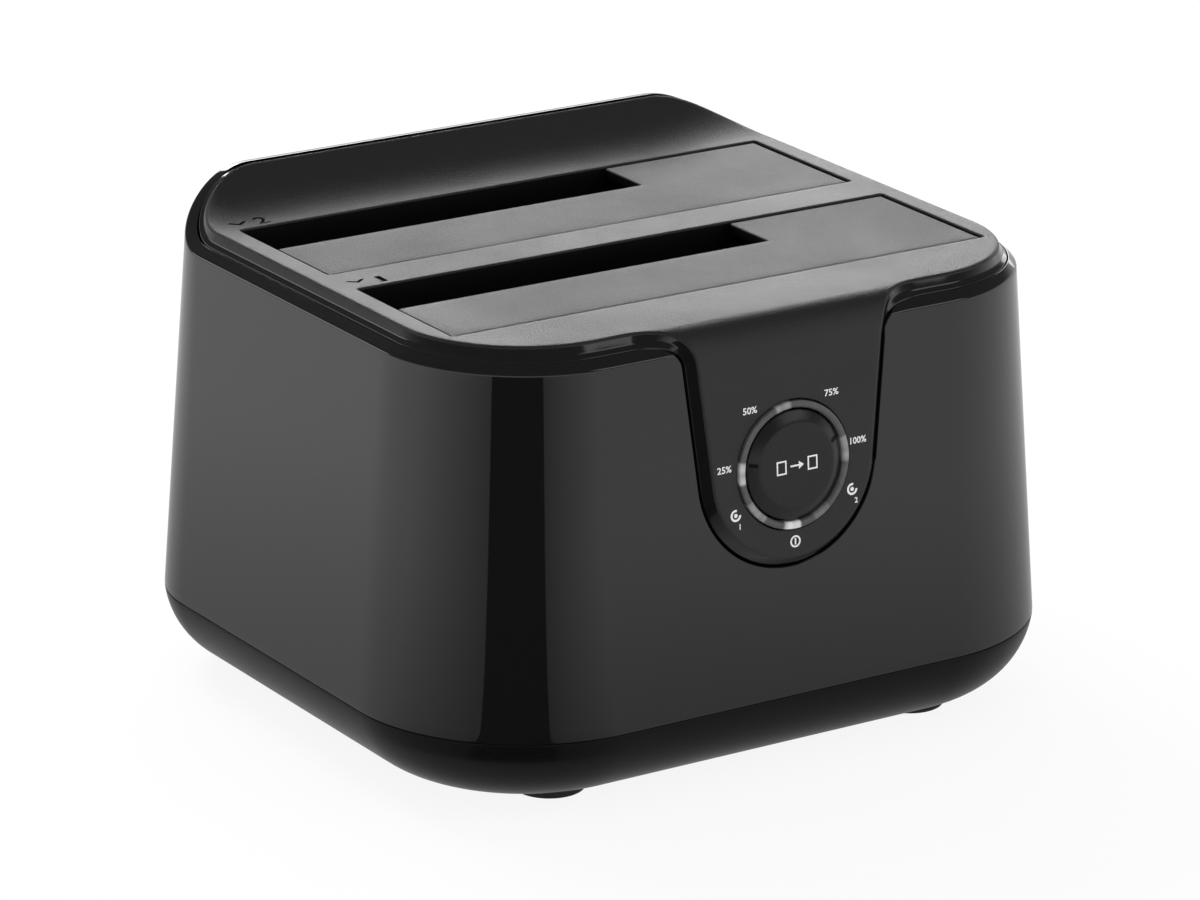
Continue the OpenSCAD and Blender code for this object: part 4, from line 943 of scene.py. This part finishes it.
# Flat triangles given two faces and a rim: points with a height, and faces
def slab(shape, spot, low, high):
    spots, index = np.unique(np.round(shape[0], 5), axis=0, return_inverse=True)
    tris = index.reshape(-1)[shape[1]]
    tris = tris[(tris[:, 0] != tris[:, 1]) & (tris[:, 1] != tris[:, 2]) & (tris[:, 0] != tris[:, 2])]
    a, b, c = spots[tris[:, 0]], spots[tris[:, 1]], spots[tris[:, 2]]
    area = (b - a)[:, 0] * (c - a)[:, 1] - (b - a)[:, 1] * (c - a)[:, 0]
    tris = np.where((area < 0)[:, None], tris[:, ::-1], tris)
    n = len(spots)
    edges = np.concatenate([tris[:, [0, 1]], tris[:, [1, 2]], tris[:, [2, 0]]])
    border = edges[~np.isin(edges[:, 1] * n + edges[:, 0], edges[:, 0] * n + edges[:, 1])]
    sides = np.c_[border[:, ::-1], border + n]
    place = spots + np.array(spot)
    points = np.r_[atHeight(place, high), atHeight(place, low)]
    return points, tris.tolist() + (tris[:, ::-1] + n).tolist() + sides.tolist()


# Word or sign slabs on the tongue's own frame
def makeTongueMarks():
    r, width = marks["discRadius"], marks["powerWidth"]
    shapes = [(wordShape(words, marks["tall"], wide), (x, y)) for words, x, y, wide in marks["scale"]]
    for words, x, y in marks["discs"]:
        shapes.append((arcShape(r - marks["discWidth"], r, marks["discFrom"]), (x, y)))
        shapes.append((arcShape(marks["dotHole"], marks["dot"]), (x, y)))
        shapes.append((wordShape(words, marks["discTall"]), (x + marks["discRight"], y - marks["discBelow"])))
    shapes.append((arcShape(r - width, r), marks["power"]))
    shapes.append((plateShape(boxLine(0, 0, width, marks["powerBar"])), marks["power"]))
    parts = [slab(shape, spot, -marks["sink"], marks["lift"]) for shape, spot in shapes]
    return makePiece("tongue_marks", parts, material["mark_pale"], onTongue, weld=markWeld)


# Copy sign on the key: a plate, an arrow and a second plate
def makeKeyMark():
    low, high = key["rise"] - marks["copySink"], key["rise"] + marks["lift"] / 2
    shapes = [plateShape(boxLine(x, 0, *marks["copyPlate"]), boxLine(x, 0, *marks["copyHole"]))
              for x in (-marks["copyApart"], marks["copyApart"])]
    parts = [slab(shape, marks["copy"], low, high) for shape in (*shapes, plateShape(marks["arrow"]))]
    return makePiece("clone_key_sign", parts, material["mark_pale"], onTongue, weld=markWeld)


# Two painted dark reflection lines on the key's cone bevel, wider at the outer end: thin black blocks set into the
# bevel
paintedReflection = dict(angles=(171.0, 22.0), inner=0.35, outer=0.25, innerHalf=0.26, outerHalf=0.34, lift=0.07, sink=0.3)


def makeKeyPaintedReflections():
    near, far = key["face"] + paintedReflection["inner"], key["radius"] - paintedReflection["outer"]
    thin, wide = paintedReflection["innerHalf"], paintedReflection["outerHalf"]
    flat = np.array([(near, -thin), (far, -wide), (far, wide), (near, thin)])
    slope = (key["low"] - key["rise"]) / (key["radius"] - key["face"])
    height = key["rise"] + (flat[:, 0] - key["face"]) * slope
    parts = []
    for turn in np.radians(paintedReflection["angles"]):
        line = flat @ np.array([ray(turn), ray(turn + np.pi / 2)])
        rings = np.array([atHeight(line, height + paintedReflection["lift"]), atHeight(line, height - paintedReflection["sink"])])
        parts.append((rings, cappedFaces(2, len(line))))
    return makePiece("clone_key_painted_reflections", parts, material["inner_black"], onTongue)


# Bay numbers and chevrons sunk into the deck
def engraveDeck(piece):
    for words, wide, cx, cy, x, y in marks["bays"]:
        for shape, spot in ((plateShape(marks["chevron"]), (cx, cy)),
                            (wordShape(words, marks["bayTall"], wide), (x, y))):
            points, faces = slab(shape, spot, -marks["cut"], marks["cut"])
            verts = surfacePoint(points[:, 0], deckHeight(points[:, 1]), -points[:, 2:])
            cutAway(piece, makePiece("deckCutter", [(verts, faces)], material["cover_matte"], weld=markWeld))
    smooth(piece.data)


settle(makePan(), "dock", "pan_satin", "base_pan")
settle(makeFeet(), "dock", "rubber", "feet")
settle(makeShell(), "dock", "shell_gloss", "outer_shell")
topCover = makeCover()
engraveDeck(topCover)
settle(topCover, "dock", "cover_matte", "top_cover")
print("casing made")
settle(makeFlap("front_flap_plate", cover["bayYs"][0]), "front_flap_body", "flap_matte", "front_flap")
settle(makeFlap("rear_flap_plate", cover["bayYs"][1]), "rear_flap_body", "flap_matte", "rear_flap")
makeSpring("front_flap_spring", "front_flap_body", cover["bayYs"][0])
makeSpring("rear_flap_spring", "rear_flap_body", cover["bayYs"][1])
settle(makeKey(), "clone_key", "key_satin", "clone_button")
settle(makeRing(), "dock", "ring_clear", "light_ring")
settle(makeTongueMarks(), "dock", "ring_clear")
settle(makeKeyMark(), "clone_key", "ring_clear")
# Painted dark reflection lines on the key's bevel ride with the key
settle(makeKeyPaintedReflections(), "clone_key", "inner_black")
print("moving pieces made")

# Stage: pale floor, white surround that is dim overhead, a dark card and soft lamps
stage = dict(floorSize=6.0, floorSteps=9, seenShare=0.9, glossShare=0.92, nearShade=0.46, farShade=0.74,
             shadeFrom=0.07, shadeTo=0.28, paintedLeftLight=0.25, leftEnd=-0.5, floorColour=0.85,
             horizon=1.0, overhead=0.12, fill=0.8, dimFrom=-0.02, dimTo=0.35,
             card=dict(near=0.034, far=1.4, root=(-0.0325, -0.0255), height=0.004, tone=0.02, rough=0.9, steps=40,
                       azimuths=(-105.0, -52.6, -52.4, -19.1, -18.9, 15.0), cover=(0.0, 0.66, 1.0, 1.0, 0.66, 0.0)),
             lamps=dict(backSoft=((-0.1, 0.8, 0.78), (0, 0, 0.05), (0.5, 0.4), 8.0, False),
                        backLeft=((-0.46, 0.66, 0.32), (0, 0, 0.07), (0.3, 0.08), 0.22, True),
                        frontRight=((0.46, -0.61, 0.55), (0, 0, 0.06), (0.5, 0.3), 0.6, True),
                        backRight=((0.37, 0.44, 0.2), (0.02, 0, 0.08), (0.56, 0.2), 0.62, True),
                        backHigh=((0.42, 0.82, 0.41), (0, 0, 0.08), (0.56, 0.26), 2.5, True)))


def grey(tone):
    return (tone, tone, tone, 1.0)


# Lit as any floor, with a share of plain white for camera and glossy rays; for glossy rays that white carries a painted
# shade near the object and painted light towards the left
def makeFloor():
    steps = stage["floorSteps"]
    x = np.linspace(-1, 1, steps) * stage["floorSize"] / 2
    mat, tree = newMaterial("paleFloor")
    tree.nodes.clear()
    path, place = addNode(tree, "LightPath").outputs, objectPlace(tree)
    away = addNode(tree, "VectorMath", {0: place}, operation="LENGTH").outputs["Value"]
    # Painted shade: the white seen in reflections dims near the object
    shade = mapRange(tree, away, (stage["shadeFrom"], stage["shadeTo"]), (stage["nearShade"], stage["farShade"]),
                     "SMOOTHSTEP")
    # Painted light: the white seen in reflections brightens towards the left
    across = addNode(tree, "SeparateXYZ", {0: place}).outputs["X"]
    left = mapRange(tree, across, (stage["leftEnd"], 0.0), (stage["paintedLeftLight"], 0.0))
    level = maths(tree, "MAXIMUM", maths(tree, "ADD", shade, left), path["Is Camera Ray"])
    seen = maths(tree, "MULTIPLY", path["Is Camera Ray"], stage["seenShare"])
    gloss = maths(tree, "MULTIPLY", path["Is Glossy Ray"], stage["glossShare"])
    plain = addNode(tree, "BsdfDiffuse", {"Color": grey(stage["floorColour"])}).outputs[0]
    white = addNode(tree, "Emission", {"Color": grey(1.0), "Strength": level}).outputs[0]
    mix = addNode(tree, "MixShader", {0: maths(tree, "MAXIMUM", seen, gloss), 1: plain, 2: white})
    addNode(tree, "OutputMaterial", {"Surface": mix.outputs[0]})
    flat = [(atHeight(gridPoints(x, x), 0.0) / mm, gridFaces(steps, steps, False))]
    makePiece("floor", flat, mat, turnOut=False)


# World: white to the camera, an even fill, and for glossy rays white below the horizon and dim above it
def makeWorld():
    world = bpy.data.worlds.new("studio")
    bpy.context.scene.world = world
    world.use_nodes = True
    tree = world.node_tree
    path = addNode(tree, "LightPath").outputs
    height = addNode(tree, "SeparateXYZ", {0: addNode(tree, "TexCoord").outputs["Generated"]}).outputs["Z"]
    level = mapRange(tree, height, (stage["dimFrom"], stage["dimTo"]), (stage["horizon"], stage["overhead"]),
                     "SMOOTHSTEP")
    fill = mixed(tree, "FLOAT", path["Is Glossy Ray"], stage["fill"], level)
    strength = maths(tree, "MAXIMUM", fill, path["Is Camera Ray"])
    setInputs(tree.nodes["Background"], {"Color": grey(1.0), "Strength": strength})


# Dark card on the floor before the front left corner: a fan, solid in the middle and thinning out to both sides
def makeCard():
    card = stage["card"]
    root, ends = np.array(card["root"]), card["azimuths"]
    turn = np.sort(np.r_[np.linspace(ends[0], ends[-1], card["steps"]), ends[1:-1]])
    rays = ray(np.radians(turn) - np.pi / 2)
    rows = np.array([atHeight(root + rays * r, card["height"]) for r in (card["near"], card["far"])])
    mat, tree = newMaterial("darkCard")
    part = addNode(tree, "Attribute", attribute_name="cardCover").outputs["Fac"]
    setInputs(tree.nodes["Principled BSDF"], {
        "Base Color": grey(card["tone"]), "Roughness": card["rough"], "Alpha": part})
    piece = makePiece("darkCard", [(rows / mm, gridFaces(2, len(turn), False))], mat, turnOut=False)
    away = vertexSpots(piece.data)[:, :2] - root
    share = np.interp(np.degrees(np.arctan2(away[:, 0], -away[:, 1])), ends, card["cover"])
    setAttribute(piece.data, "cardCover", share)
    piece.visible_camera = piece.visible_shadow = piece.visible_diffuse = False


# Soft lamp; one that only fills leaves no highlight of its own
def addLamp(name, spot, aim, size, power, shines):
    lamp = bpy.data.lights.new(name, "AREA")
    lamp.shape, lamp.size, lamp.size_y, lamp.energy = "RECTANGLE", size[0], size[1], power
    holder = bpy.data.objects.new(name, lamp)
    holder.location = spot
    holder.rotation_euler = (Vector(aim) - Vector(spot)).to_track_quat("-Z", "Y").to_euler()
    holder.visible_camera = False
    holder.visible_glossy = shines
    bpy.context.collection.objects.link(holder)


makeFloor()
makeWorld()
makeCard()
for name, values in stage["lamps"].items():
    addLamp(name, *values)
bpy.context.scene.view_settings.view_transform = "Standard"
print("stage set")
